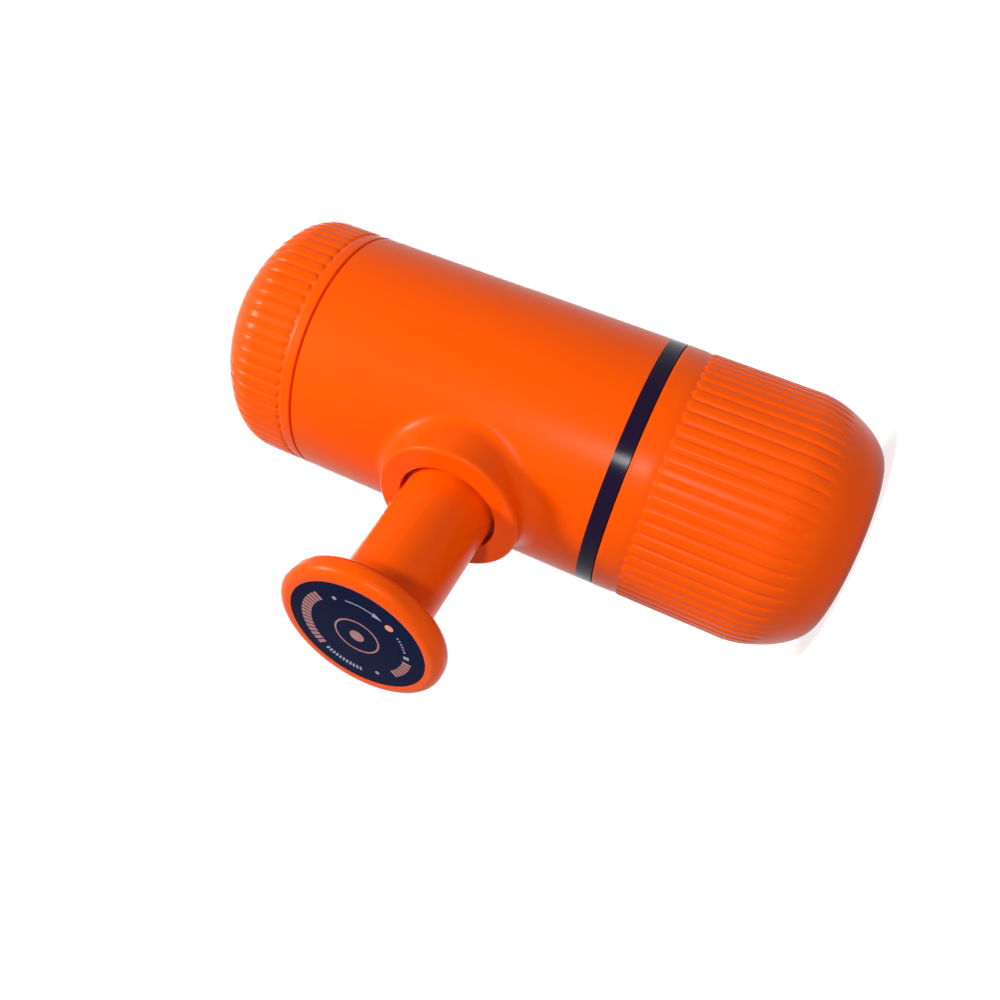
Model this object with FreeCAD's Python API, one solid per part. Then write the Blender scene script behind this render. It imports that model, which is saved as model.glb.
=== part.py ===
import FreeCAD, Part
import math
import os

os.makedirs("parts", exist_ok=True)

# Hand-pumped espresso maker, standing on its cup.  +Z runs up the barrel from the flat base of the cup
# to the crown of the water tank, and the pump's knob points to -Y.  All sizes are in millimetres.

V = FreeCAD.Vector
ORIGIN = V(0, 0, 0)
UP = V(0, 0, 1)
NEAR = 1e-3               # places closer than this are the same
OVERCUT = 1.0             # how far a cutter runs past the face it leaves through
CURVE_STEPS = 10          # points along a soft corner or a groove

# ---------------------------------------------------------------- outside of the barrel
BARREL_R = 30.5
CUP_HEIGHT = 49.2
CUP_CORNER_RUN = 10.3
CUP_CORNER_RISE = 17.7
CUP_CORNER_POWER = 1.66
BAND_HEIGHT = 3.72
SHELL_HEIGHT = 74.38
TANK_HEIGHT = 28.15
TANK_DOME_RISE = 16.2
TANK_DOME_POWER = 1.96
EDGE_ROUND = 0.4          # small rounding of the moulded rims
RIM_GAP = 0.15            # cup rim to black band
SEAM_GAP = 0.4            # shell to tank

# ---------------------------------------------------------------- grip ribs of the cup and the tank
RIB_COUNT = 60
GROOVE_DEPTH = 0.5
GROOVE_WIDTH = 0.8
GROOVE_RUN_OUT = 1.0      # length of the slope at each end of a groove
CUP_GROOVE_LOW = 10.0     # above the base
CUP_GROOVE_TOP_GAP = 5.9  # below the rim
TANK_GROOVE_LOW_GAP = 2.75  # above the seam
TANK_GROOVE_SHARE = 0.62    # how far up the dome the grooves run

# ---------------------------------------------------------------- walls
CUP_WALL = 2.4
CUP_MOUTH_WALL = 2.5
SHELL_WALL = 2.0
TANK_WALL = 2.2

# ---------------------------------------------------------------- clearances
RUN_FIT = 0.05            # radial, between parts that slide or turn on each other
SEAT_FIT = 0.02           # between parts that are pressed or glued together
MOVE_GAP = 0.3            # between moving parts that must not touch
SLIP_GAP = 0.2            # round the inner parts that drop into the shell

# ---------------------------------------------------------------- screw threads
THREAD_ROOT = 0.3         # how far a rib sinks into its wall
THREAD_HEIGHT = 0.85
THREAD_OVERLAP = 0.5      # radial engagement of the two ribs
THREAD_BASE = 1.3
THREAD_CREST = 0.8
TANK_PITCH = 4.0
HEAD_PITCH = 3.5
THREAD_TURNS = 1.5

# ---------------------------------------------------------------- boss and piston
PUMP_RISE = 30.43         # pump axis above the shell's lower edge
BOSS_PROUD = 5.2          # rim plane of the boss beyond the barrel's side
BOSS_WALL = 2.2
BOSS_FACE_WALL = 2.2
BOSS_FILLET = 4.2
BOSS_RIM_ROUND = 0.9
BOSS_HOLE_GAP = 1.2       # hole round the sleeve
BUSH_WALL = 4.3
BUSH_LENGTH = 7.8
WIPER_THICK = 1.8
SLEEVE_R = 10.7
SLEEVE_WALL = 1.4
KNOB_REST_GAP = 0.1       # knob to boss, pressed home
KNOB_R = 18.1
KNOB_THICK = 5.0
KNOB_RIM = 3.1            # knob's edge outside the label
KNOB_RIM_ROUND = 2.0
KNOB_NECK_ROUND = 1.6
KNOB_END_WALL = 4.7
LABEL_THICK = 1.1
LABEL_SINK = 0.1
LUG_THICK = 3.0
LUG_REACH = 2.0
LUG_SPAN = 40.0           # degrees
LUG_MIDDLES = (90, 270)   # degrees round the pump axis
LUG_SLOT_PLAY = 4.0       # degrees, each side
LOCK_THICK = 3.2
LOCK_EDGE = 1.8           # plate outside the lugs' slots
ROD_R = 3.95
ROD_NECK_R = 3.0
ROD_SCREW_LIP = 1.0       # screw head outside the rod's neck
ROD_SCREW_BITE = 4.0
ROD_TIP_GAP = 0.8         # rod tip to the valve port, pressed home
ROD_ENGAGEMENT = 5.2      # rod inside the cylinder, drawn out
SEAL_WIDTH = 1.8
SEAL_DEPTH = 0.75
SEAL_FROM_TIP = 1.2

# ---------------------------------------------------------------- pump cylinder and return spring
CYLINDER_WALL = 2.2
CYLINDER_FLANGE = 2.5
CYLINDER_PLUG_WALL = 1.8
CYLINDER_PLUG = 3.3
CYLINDER_RING_R = 0.45
SPRING_WIRE_R = 0.55
SPRING_TURNS = 15
SPRING_SEAT_THICK = 1.4

# ---------------------------------------------------------------- valve block
BLOCK_GAP = 0.86          # sleeve end to block, pressed home
BLOCK_BACK_GAP = 4.0      # block to shell
BLOCK_SIDE_WALL = 3.18    # beside the cylinder's plug
BLOCK_BACK_WALL = 4.1
BLOCK_ROUND = 1.5
PORT_SETBACK = 0.3        # cylinder plug to valve port
PORT_R = 1.2
VALVE_WALL = 0.6          # cylinder plug to valve bores
VALVE_BORE_R = 2.6
BALL_R = 1.8
VALVE_SEAT_HEIGHT = 1.6
VALVE_SPRING_LENGTH = 2.4
VALVE_SPRING_WIRE_R = 0.24
VALVE_SPRING_INSET = 0.2  # spring inside the ball's edge
VALVE_SPRING_TURNS = 3.5
TUBE_R = 2.3
TUBE_BORE_R = 1.4
TUBE_PLUG = 1.6           # tube inside the block
TUBE_FLANGE_R = 4.0
TUBE_FLANGE = 1.5
EAR_THICK = 4.0
EAR_HALF_HEIGHT = 7.0
EAR_EDGE = 2.7            # ear outside its screws
STANDOFF_GAP = 2.8        # between the lugs' sweep and the ears' standoffs

# ---------------------------------------------------------------- frame between collar and tank socket
FRAME_GAP = 0.5           # frame inside the collar's and the socket's edge
FRAME_RING = 2.5
FRAME_RING_WIDTH = 12.0
FRAME_HEAD_ROOM = 0.6     # valve block to head ring
POST_GAP = 3.3            # between the lugs' sweep and the posts
POST_WIDTH = 8.0
POST_DEPTH = 13.8

# ---------------------------------------------------------------- brew head
SPIGOT_LENGTH = 10.35
SPIGOT_GAP = 0.6          # spigot to cup
SPIGOT_WALL = 2.7
CUP_RING_R = 0.95
CUP_RING_UP = 4.0         # above the spigot's end
CUP_RING_SLOT = 2.0
COLLAR_RISE = 3.95        # collar above the band, inside the shell
CEILING_DROP = 2.75       # gasket seat below the band's top
CAVITY_HEIGHT = 1.7
SCREEN_BOSS_R = 4.0
SCREEN_BOSS_DROP = 0.5    # boss end below the gasket seat
SCREEN_THICK = 0.6
SCREEN_GAP = 0.5          # screen inside the cavity
GASKET_THICK = 2.45
GASKET_GAP = 0.5          # gasket inside the collar's bore
GASKET_EDGE = 0.4         # seat inside the gasket
BASKET_FLANGE_GAP = 0.4   # flange inside the outlet head's edge
BASKET_FLANGE = 1.2
BASKET_WALL = 0.8
BASKET_DEPTH = 14.2
BASKET_GAP = 0.5          # basket in the outlet head
HEAD_WALL = 3.1
HEAD_FLANGE_GAP = 1.0     # grip flange inside the spigot's edge
HEAD_FLANGE = 4.2
HEAD_NOTCHES = 24
HEAD_NOTCH_R = 1.3
HEAD_FUNNEL_GAP = 2.8     # basket floor to funnel
HEAD_FUNNEL_DROP = 3.6
HEAD_FLOOR = 3.0
OUTLET_R = 2.4
VALVE_WELL_R = 5.0
VALVE_WELL_WALL = 2.4
VALVE_WELL_DEPTH = 7.0
POPPET_GAP = 1.0          # poppet in its well
POPPET_THICK = 1.3
POPPET_STEM_R = 1.0
POPPET_STEM = 4.4
POPPET_NOSE = 1.2
CREMA_SPRING_WIRE_R = 0.22
CREMA_SPRING_GAP = 0.9    # spring outside the nozzle's bore
CREMA_SPRING_TURNS = 4
NOZZLE_PLUG = 2.6
NOZZLE_BORE_R = 2.1
NOZZLE_TIP_WALL = 1.5
NOZZLE_LENGTH = 5.5

# ---------------------------------------------------------------- tank socket
SOCKET_FLOOR = 3.0
SOCKET_WALL = 2.7
SOCKET_EDGE_DROP = 0.25   # socket rim below the shell's top edge
TANK_NECK_WALL = 1.7
TANK_GASKET_THICK = 1.5
TANK_SHOULDER = 2.15
STRAINER_R = 5.0
STRAINER_THICK = 0.6
STRAINER_HOLE_R = 0.4
STRAINER_PITCH = 1.7

# ---------------------------------------------------------------- small screws and screen holes
SCREW_R = 0.9
SCREW_HEAD_R = 1.7
SCREW_HEAD = 1.3
SCREW_DRIVE_R = 0.7
SCREW_DRIVE_DEPTH = 0.7
FOOT_SCREW_BITE = 3.4
SOCKET_SCREW_BITE = 2.2
RING_SCREWS = 4
RING_SCREW_TURN = 45      # degrees, clear of the posts
RING_SCREW_INSET = 5.4    # from the frame's edge
POST_SCREW_BITE = 8.0
POST_SCREW_INSET = 2.3    # from the post's inner face
POST_SCREW_SPREAD = 4.5
SCREEN_HOLE_R = 0.55
SCREEN_HOLE_PITCH = 2.9

# ---------------------------------------------------------------- places that follow from the sizes
band_low = CUP_HEIGHT + RIM_GAP
band_top = band_low + BAND_HEIGHT
shell_top = band_top + SHELL_HEIGHT
tank_low = shell_top + SEAM_GAP
crown_z = tank_low + TANK_HEIGHT
pump_z = band_top + PUMP_RISE
shell_in = BARREL_R - SHELL_WALL
inner_r = shell_in - SLIP_GAP
cup_in = BARREL_R - CUP_MOUTH_WALL
thread_gap = 2 * THREAD_HEIGHT - THREAD_OVERLAP

# Across the piston, from its own axis
sleeve_in = SLEEVE_R - SLEEVE_WALL
lug_r = SLEEVE_R + LUG_REACH
bush_in_r = SLEEVE_R + RUN_FIT
bush_r = SLEEVE_R + BUSH_WALL
boss_r = bush_r + BOSS_WALL
boss_hole_r = SLEEVE_R + BOSS_HOLE_GAP
label_r = KNOB_R - KNOB_RIM
rod_head_r = ROD_NECK_R + ROD_SCREW_LIP
screw_recess_r = rod_head_r + MOVE_GAP
cylinder_bore_r = ROD_R + RUN_FIT
cylinder_r = cylinder_bore_r + CYLINDER_WALL
cylinder_plug_r = cylinder_bore_r + CYLINDER_PLUG_WALL
in_sleeve_r = sleeve_in - MOVE_GAP
spring_mean_r = (cylinder_r + sleeve_in) / 2
block_half = cylinder_plug_r + BLOCK_SIDE_WALL

# Along the piston, counted outwards from the barrel's axis
boss_reach = BARREL_R + BOSS_PROUD
wiper_out = boss_reach - BOSS_FACE_WALL - SEAT_FIT
bush_out = wiper_out - WIPER_THICK - SEAT_FIT
bush_in = bush_out - BUSH_LENGTH
lug_out = bush_in - MOVE_GAP
sleeve_end = lug_out - LUG_THICK
valve_setback = CYLINDER_PLUG + PORT_SETBACK + PORT_R
block_depth = valve_setback + VALVE_BORE_R + BLOCK_BACK_WALL
block_front = block_depth + BLOCK_BACK_GAP - shell_in
stroke = sleeve_end - block_front - BLOCK_GAP
knob_back = boss_reach + stroke + KNOB_REST_GAP
knob_face = knob_back + KNOB_THICK
label_floor = knob_face - LABEL_SINK - LABEL_THICK
screw_floor = label_floor - SCREW_HEAD - MOVE_GAP
rod_shoulder = screw_floor - KNOB_END_WALL
lock_in = lug_out - stroke + MOVE_GAP
lock_out = lock_in + LOCK_THICK
valve_axis = block_front - valve_setback
rod_tip = valve_axis + PORT_R + ROD_TIP_GAP + stroke
cylinder_mouth = rod_tip + ROD_ENGAGEMENT
ring_slot_low = block_front - CYLINDER_PLUG * 3 / 4
ring_slot_high = block_front - CYLINDER_PLUG / 4

# Valves, from the cylinder's plug outwards; a ball rests on the edge of its seat's port
valve_spring_r = BALL_R - VALVE_SPRING_INSET
ball_drop = math.sqrt(BALL_R ** 2 - PORT_R ** 2) + SEAT_FIT
inlet_floor = pump_z + cylinder_plug_r + VALVE_WALL
inlet_ball_z = inlet_floor + VALVE_SPRING_LENGTH + BALL_R
inlet_seat_low = inlet_ball_z + ball_drop
inlet_plug_low = inlet_seat_low + VALVE_SEAT_HEIGHT
block_top = inlet_plug_low + TUBE_PLUG
outlet_ceiling = pump_z - cylinder_plug_r - VALVE_WALL
outlet_seat_low = outlet_ceiling - VALVE_SEAT_HEIGHT
outlet_ball_z = outlet_seat_low - ball_drop
outlet_plug_top = outlet_ball_z - BALL_R - VALVE_SPRING_LENGTH
block_low = outlet_plug_top - TUBE_PLUG

# Frame, lock ring and ears
frame_r = inner_r - FRAME_GAP
lock_half_height = lug_r + MOVE_GAP + LOCK_EDGE
post_in = lug_r + POST_GAP
post_out = post_in + POST_WIDTH
post_front = lock_out + POST_DEPTH
post_screw_x = post_in + POST_SCREW_INSET
standoff_in = lug_r + STANDOFF_GAP
ear_reach = post_screw_x + EAR_EDGE
ring_screw_r = frame_r - RING_SCREW_INSET
head_ring_low = max(block_top, pump_z + bush_r, pump_z + lock_half_height) + FRAME_HEAD_ROOM
socket_low = head_ring_low + FRAME_RING
socket_floor = socket_low + SOCKET_FLOOR
socket_in = inner_r - SOCKET_WALL
neck_r = socket_in - thread_gap
neck_low = socket_floor + RUN_FIT + TANK_GASKET_THICK
tank_thread_z = (neck_low + shell_top) / 2

# Brew head, from the cup's wall inwards and from the band downwards
spigot_r = cup_in - SPIGOT_GAP
spigot_low = band_low - SPIGOT_LENGTH
collar_bore_r = spigot_r - SPIGOT_WALL
head_r = collar_bore_r - thread_gap
head_flange_r = spigot_r - HEAD_FLANGE_GAP
pocket_r = head_r - HEAD_WALL
basket_r = pocket_r - BASKET_GAP
basket_flange_r = head_r - BASKET_FLANGE_GAP
gasket_out = collar_bore_r - GASKET_GAP
gasket_in = basket_r
cavity_r = gasket_in - GASKET_EDGE
screen_r = cavity_r - SCREEN_GAP
ceiling_z = band_top - CEILING_DROP
cavity_top = ceiling_z + CAVITY_HEIGHT
collar_top = band_top + COLLAR_RISE
screen_top = ceiling_z - SCREEN_BOSS_DROP
gasket_low = ceiling_z - GASKET_THICK
basket_top = gasket_low - RUN_FIT
head_top = basket_top - BASKET_FLANGE
basket_floor = basket_top - BASKET_DEPTH
head_thread_z = head_top - (THREAD_TURNS + 1) * HEAD_PITCH / 2
funnel_top = basket_floor - HEAD_FUNNEL_GAP
funnel_low = funnel_top - HEAD_FUNNEL_DROP
valve_face = funnel_low - HEAD_FLOOR
well_low = valve_face - VALVE_WELL_DEPTH
nozzle_plug_top = well_low + NOZZLE_PLUG
well_r = VALVE_WELL_R + VALVE_WELL_WALL
nozzle_tip_r = NOZZLE_BORE_R + NOZZLE_TIP_WALL
poppet_r = VALVE_WELL_R - POPPET_GAP
crema_spring_r = NOZZLE_BORE_R + CREMA_SPRING_GAP
outlet_tube_low = (cavity_top + collar_top) / 2


# ---------------------------------------------------------------- ways of making shapes
def rounded_wire(outline):
    """Closed wire in the XZ plane through corners (x, z) or (x, z, rounding radius)."""
    corners = [V(c[0], 0, c[1]) for c in outline]
    radii = [c[2] if len(c) > 2 else 0 for c in outline]
    turns = []
    for i, corner in enumerate(corners):
        if not radii[i]:
            turns.append((corner, corner, None))
            continue
        before = (corners[i - 1] - corner).normalize()
        after = (corners[(i + 1) % len(corners)] - corner).normalize()
        half = before.getAngle(after) / 2
        reach = radii[i] / math.tan(half)
        middle = (before + after).normalize()
        apex = corner + middle * (radii[i] / math.sin(half) - radii[i])
        turns.append((corner + before * reach, corner + after * reach, apex))
    edges = []
    for i, (enter, leave, apex) in enumerate(turns):
        if apex:
            edges.append(Part.Arc(enter, apex, leave).toShape())
        following = turns[(i + 1) % len(turns)][0]
        if leave.distanceToPoint(following) > 1e-6:
            edges.append(Part.makeLine(leave, following))
    return Part.Wire(edges)


def lathe(outline):
    """Solid turned about Z from an outline of (radius, height[, rounding])."""
    return Part.Face(rounded_wire(outline)).revolve(ORIGIN, UP, 360)


def lathe_edges(edges):
    """Solid turned about Z from edges that close in the XZ plane."""
    wire = Part.Wire(Part.__sortEdges__(edges))
    return Part.Face(wire).revolve(ORIGIN, UP, 360)


def ring(inner, outer, low, high):
    """Plain ring about Z."""
    return lathe([(inner, low), (outer, low), (outer, high), (inner, high)])


def rod(radius, low, high, x=0.0, y=0.0):
    """Plain round bar along Z."""
    return Part.makeCylinder(radius, high - low, V(x, y, low), UP)


def block(x0, x1, y0, y1, z0, z1):
    """Plain box between two corners."""
    return Part.makeBox(x1 - x0, y1 - y0, z1 - z0, V(x0, y0, z0))


def on_pump_axis(shape):
    """Turn a shape made about Z so that its Z points out along the pump, at the pump's height."""
    turned = shape.copy()
    turned.rotate(ORIGIN, V(1, 0, 0), 90)
    turned.translate(V(0, 0, pump_z))
    return turned


def one_solid(shape):
    """The single solid of a finished cut or fuse, with its seams cleaned."""
    return shape.removeSplitter().Solids[0]


def corner_point(flat_r, wall_r, flat_z, wall_z, power, t):
    """Point on a soft corner: t is 0 at the flat end and 1 at the straight wall."""
    turn = t * math.pi / 2
    run = math.sin(turn) ** (2 / power)
    rise = math.cos(turn) ** (2 / power)
    return V(flat_r + (wall_r - flat_r) * run, 0, wall_z + (flat_z - wall_z) * rise)


def corner_curve(flat_r, wall_r, flat_z, wall_z, power):
    """Soft corner between a flat end and a straight wall, as one curve."""
    points = []
    for i in range(CURVE_STEPS + 1):
        points.append(corner_point(flat_r, wall_r, flat_z, wall_z, power, i / CURVE_STEPS))
    curve = Part.BSplineCurve()
    away = V(0, 0, 1 if wall_z > flat_z else -1)
    curve.interpolate(Points=points, InitialTangent=V(1, 0, 0), FinalTangent=away)
    return curve.toShape()


def helical_rib(wall_r, outward, middle_z, turns, pitch):
    """Right-hand screw rib on a wall of radius wall_r, standing outward (1) or inward (-1)."""
    foot_r = wall_r - outward * THREAD_ROOT
    crest_r = wall_r + outward * THREAD_HEIGHT
    section = Part.makePolygon([
        V(foot_r, 0, -THREAD_BASE / 2),
        V(crest_r, 0, -THREAD_CREST / 2),
        V(crest_r, 0, THREAD_CREST / 2),
        V(foot_r, 0, THREAD_BASE / 2),
        V(foot_r, 0, -THREAD_BASE / 2)])
    helix = Part.makeHelix(pitch, pitch * turns, wall_r)
    rib = Part.Wire(helix).makePipeShell([section], True, True)
    rib.translate(V(0, 0, middle_z - pitch * turns / 2))
    return rib


def coil(mean_r, wire_r, low, high, turns):
    """Compression spring about Z between two faces, its round wire swept as three arcs."""
    start = low + wire_r
    rise = high - low - 2 * wire_r
    helix = Part.makeHelix(rise / turns, rise, mean_r)
    turn = [i * math.pi / 3 for i in range(7)]
    rim = [V(mean_r + wire_r * math.cos(a), 0, wire_r * math.sin(a)) for a in turn]
    section = Part.Wire([Part.Arc(*rim[i:i + 3]).toShape() for i in (0, 2, 4)])
    spring = Part.Wire(helix).makePipeShell([section], True, True)
    spring.translate(V(0, 0, start))
    return spring


def groove_cutter(skin):
    """Prism that cuts one grip groove along skin, a list of points (radius, 0, height)."""
    floor = []
    for i, point in enumerate(skin):
        run = skin[min(i + 1, len(skin) - 1)] - skin[max(i - 1, 0)]
        outward = V(abs(run.z), 0, abs(run.x)).normalize()
        floor.append(point - outward * GROOVE_DEPTH)
    clear = 2 * GROOVE_DEPTH
    start = skin[0] + V(clear, 0, 0) + (skin[0] - skin[1]).normalize() * GROOVE_RUN_OUT
    end_out = (skin[-1] - floor[-1]).normalize()
    end_run = (skin[-1] - skin[-2]).normalize()
    end = skin[-1] + end_out * clear + end_run * GROOVE_RUN_OUT
    bed = Part.BSplineCurve()
    bed.interpolate(floor)
    far = V(BARREL_R + clear, 0, end.z)
    edges = [bed.toShape(), Part.makeLine(floor[-1], end), Part.makeLine(end, far)]
    edges += [Part.makeLine(far, start), Part.makeLine(start, floor[0])]
    face = Part.Face(Part.Wire(edges))
    cutter = face.extrude(V(0, GROOVE_WIDTH, 0))
    cutter.translate(V(0, -GROOVE_WIDTH / 2, 0))
    return cutter


def cut_grooves(shape, skin):
    """Cut the whole ring of grip grooves into a shell."""
    cutter = groove_cutter(skin)
    cutters = []
    for i in range(RIB_COUNT):
        copy = cutter.copy()
        copy.rotate(ORIGIN, UP, i * 360 / RIB_COUNT)
        cutters.append(copy)
    return shape.cut(cutters)


def perforation(low, high, hole_r, pitch, inner_r, outer_r):
    """Pins for the rings of small holes that lie between two radii."""
    pins = []
    for n in range(int(outer_r / pitch) + 1):
        radius = n * pitch
        if radius < inner_r or radius + pitch / 2 > outer_r:
            continue
        count = max(1, int(2 * math.pi * n))
        for i in range(count):
            turn = 2 * math.pi * i / count
            pins.append(rod(hole_r, low, high, radius * math.cos(turn), radius * math.sin(turn)))
    return pins


def pan_screw(head_low, bite):
    """Screw about Z whose head stands up from head_low and whose shank reaches bite below it."""
    screw = lathe([
        (0, head_low - bite),
        (SCREW_R, head_low - bite),
        (SCREW_R, head_low),
        (SCREW_HEAD_R, head_low),
        (SCREW_HEAD_R, head_low + SCREW_HEAD, EDGE_ROUND),
        (0, head_low + SCREW_HEAD)])
    drive = rod(SCREW_DRIVE_R, head_low + SCREW_HEAD - SCREW_DRIVE_DEPTH, head_low + SCREW_HEAD)
    return screw.cut(drive)


def around(shape, radius, count, first_angle):
    """Copies of a shape standing on a circle about Z."""
    copies = []
    for i in range(count):
        copy = shape.copy()
        copy.translate(V(radius, 0, 0))
        copy.rotate(ORIGIN, UP, first_angle + i * 360 / count)
        copies.append(copy)
    return copies


# ---------------------------------------------------------------- cup, shell and collar
def espresso_cup():
    """Drinking cup that pushes over the brew head; its base is the foot of the whole maker."""
    flat_r = BARREL_R - CUP_CORNER_RUN
    outside = corner_curve(flat_r, BARREL_R, 0, CUP_CORNER_RISE, CUP_CORNER_POWER)
    inside_flat = flat_r - CUP_WALL / 2
    inside = corner_curve(inside_flat, cup_in, CUP_WALL, CUP_CORNER_RISE, CUP_CORNER_POWER)
    lip = rounded_wire([
        (cup_in, CUP_CORNER_RISE),
        (BARREL_R, CUP_CORNER_RISE),
        (BARREL_R, CUP_HEIGHT, EDGE_ROUND),
        (cup_in, CUP_HEIGHT, EDGE_ROUND)])
    wall = Part.Face(lip).revolve(ORIGIN, UP, 360)
    bowl = lathe_edges([
        Part.makeLine(ORIGIN, V(flat_r, 0, 0)),
        outside,
        Part.makeLine(V(BARREL_R, 0, CUP_CORNER_RISE), V(cup_in, 0, CUP_CORNER_RISE)),
        inside,
        Part.makeLine(V(inside_flat, 0, CUP_WALL), V(0, 0, CUP_WALL)),
        Part.makeLine(V(0, 0, CUP_WALL), ORIGIN)])
    skin = []
    groove_top = CUP_HEIGHT - CUP_GROOVE_TOP_GAP - GROOVE_RUN_OUT
    groove_low = CUP_GROOVE_LOW + GROOVE_RUN_OUT
    for i in range(CURVE_STEPS + 1):
        height = groove_top + (groove_low - groove_top) * i / CURVE_STEPS
        skin.append(V(cup_radius(height), 0, height))
    return one_solid(cut_grooves(wall.fuse(bowl).removeSplitter(), skin))


def cup_radius(height):
    """Outer radius of the cup at a height."""
    if height >= CUP_CORNER_RISE:
        return BARREL_R
    drop = (CUP_CORNER_RISE - height) / CUP_CORNER_RISE
    run = (1 - drop ** CUP_CORNER_POWER) ** (1 / CUP_CORNER_POWER)
    return BARREL_R - CUP_CORNER_RUN * (1 - run)


def body_shell():
    """Middle tube of the barrel with the boss that the piston comes out of."""
    tube = rod(BARREL_R, band_top, shell_top)
    boss = on_pump_axis(rod(boss_r, 0, boss_reach))
    outer = tube.fuse(boss)
    root = []
    for edge in outer.Edges:
        box = edge.BoundBox
        off_ends = box.ZMin > band_top + NEAR and box.ZMax < shell_top - NEAR
        off_rim = box.YMin > NEAR - boss_reach
        if off_ends and off_rim and box.XLength > boss_r:
            root.append(edge)
    outer = outer.makeFillet(BOSS_FILLET, root)
    rim = [e for e in outer.Edges if abs(e.BoundBox.YMax + boss_reach) < NEAR]
    outer = outer.makeFillet(BOSS_RIM_ROUND, rim)
    hollow = rod(shell_in, band_top - OVERCUT, shell_top + OVERCUT)
    bore = on_pump_axis(rod(bush_r, 0, boss_reach - BOSS_FACE_WALL))
    hole = on_pump_axis(rod(boss_hole_r, 0, boss_reach + OVERCUT))
    return one_solid(outer.cut([hollow, bore, hole]))


def brew_collar():
    """Black collar: the band seen between shell and cup, the spigot for the cup and the brew ceiling."""
    slot_low = spigot_low + CUP_RING_UP - CUP_RING_SLOT / 2
    slot_r = cup_in - RUN_FIT - 2 * CUP_RING_R
    body = lathe([
        (spigot_r, spigot_low, EDGE_ROUND),
        (spigot_r, slot_low),
        (slot_r, slot_low),
        (slot_r, slot_low + CUP_RING_SLOT),
        (spigot_r, slot_low + CUP_RING_SLOT),
        (spigot_r, band_low),
        (BARREL_R, band_low),
        (BARREL_R, band_top),
        (inner_r, band_top),
        (inner_r, collar_top),
        (0, collar_top),
        (0, screen_top),
        (SCREEN_BOSS_R, screen_top),
        (SCREEN_BOSS_R, cavity_top),
        (cavity_r, cavity_top),
        (cavity_r, ceiling_z),
        (collar_bore_r, ceiling_z),
        (collar_bore_r, spigot_low)])
    rib = helical_rib(collar_bore_r, -1, head_thread_z + HEAD_PITCH / 2, THREAD_TURNS, HEAD_PITCH)
    cuts = [
        rod(TUBE_BORE_R, cavity_top - OVERCUT, collar_top + OVERCUT, 0, -valve_axis),
        rod(TUBE_R + SEAT_FIT, outlet_tube_low, collar_top + OVERCUT, 0, -valve_axis),
        rod(SCREW_R + SEAT_FIT, screen_top - OVERCUT, cavity_top)]
    pilot = rod(SCREW_R + SEAT_FIT, collar_top - FOOT_SCREW_BITE - SEAT_FIT, collar_top + OVERCUT)
    cuts += around(pilot, ring_screw_r, RING_SCREWS, RING_SCREW_TURN)
    return one_solid(body.fuse(rib).cut(cuts))


def cup_seal_ring():
    """Rubber ring on the spigot that holds the cup by friction."""
    return Part.makeTorus(cup_in - RUN_FIT - CUP_RING_R, CUP_RING_R, V(0, 0, spigot_low + CUP_RING_UP), UP)


def shower_screen():
    """Perforated steel disc that spreads the water over the coffee."""
    low = screen_top - SCREEN_THICK
    disc = rod(screen_r, low, screen_top)
    holes = perforation(low, screen_top, SCREEN_HOLE_R, SCREEN_HOLE_PITCH, SCREEN_BOSS_R, screen_r)
    holes.append(rod(SCREW_R + SEAT_FIT, low, screen_top))
    return one_solid(disc.cut(holes))


def screen_screw():
    """Screw that holds the shower screen to the collar."""
    face = screen_top - SCREEN_THICK
    screw = pan_screw(0, cavity_top - face - SEAT_FIT)
    screw.rotate(ORIGIN, V(1, 0, 0), 180)
    screw.translate(V(0, 0, face))
    return screw


def brew_gasket():
    """Silicone ring between the collar and the basket's rim."""
    return ring(gasket_in, gasket_out, gasket_low, ceiling_z)


# ---------------------------------------------------------------- basket and outlet head
def filter_basket():
    """Steel basket for the ground coffee, with a perforated floor."""
    inner = basket_r - BASKET_WALL
    pan = lathe([
        (0, basket_floor),
        (basket_r, basket_floor, BASKET_WALL),
        (basket_r, head_top),
        (basket_flange_r, head_top),
        (basket_flange_r, basket_top),
        (inner, basket_top),
        (inner, basket_floor + BASKET_WALL),
        (0, basket_floor + BASKET_WALL)])
    floor_r = inner - BASKET_WALL
    top = basket_floor + BASKET_WALL
    holes = perforation(basket_floor, top, SCREEN_HOLE_R, SCREEN_HOLE_PITCH, 0, floor_r)
    return one_solid(pan.cut(holes))


def outlet_head():
    """Screw-on head that carries the basket and gathers the coffee into the spout."""
    flange_top = spigot_low - MOVE_GAP
    flange_low = flange_top - HEAD_FLANGE
    body = lathe([
        (head_r, head_top),
        (head_r, flange_top),
        (head_flange_r, flange_top, EDGE_ROUND),
        (head_flange_r, flange_low, EDGE_ROUND),
        (head_r, flange_low),
        (head_r, funnel_top, HEAD_FLOOR),
        (well_r, valve_face),
        (well_r, well_low),
        (VALVE_WELL_R, well_low),
        (VALVE_WELL_R, valve_face),
        (OUTLET_R, valve_face),
        (OUTLET_R, funnel_low),
        (pocket_r, funnel_top),
        (pocket_r, head_top)])
    rib = helical_rib(head_r, 1, head_thread_z, THREAD_TURNS, HEAD_PITCH)
    notch = rod(HEAD_NOTCH_R, flange_low, flange_top)
    notches = around(notch, head_flange_r + HEAD_NOTCH_R / 2, HEAD_NOTCHES, 0)
    return one_solid(body.fuse(rib).cut(notches))


def spout_nozzle():
    """Nozzle pressed into the outlet head below the crema valve."""
    plug_r = VALVE_WELL_R - SEAT_FIT
    tip = well_low - NOZZLE_LENGTH
    return lathe([
        (NOZZLE_BORE_R, tip),
        (nozzle_tip_r, tip, EDGE_ROUND),
        (well_r, well_low - SEAT_FIT),
        (plug_r, well_low - SEAT_FIT),
        (plug_r, nozzle_plug_top),
        (NOZZLE_BORE_R, nozzle_plug_top)])


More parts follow.
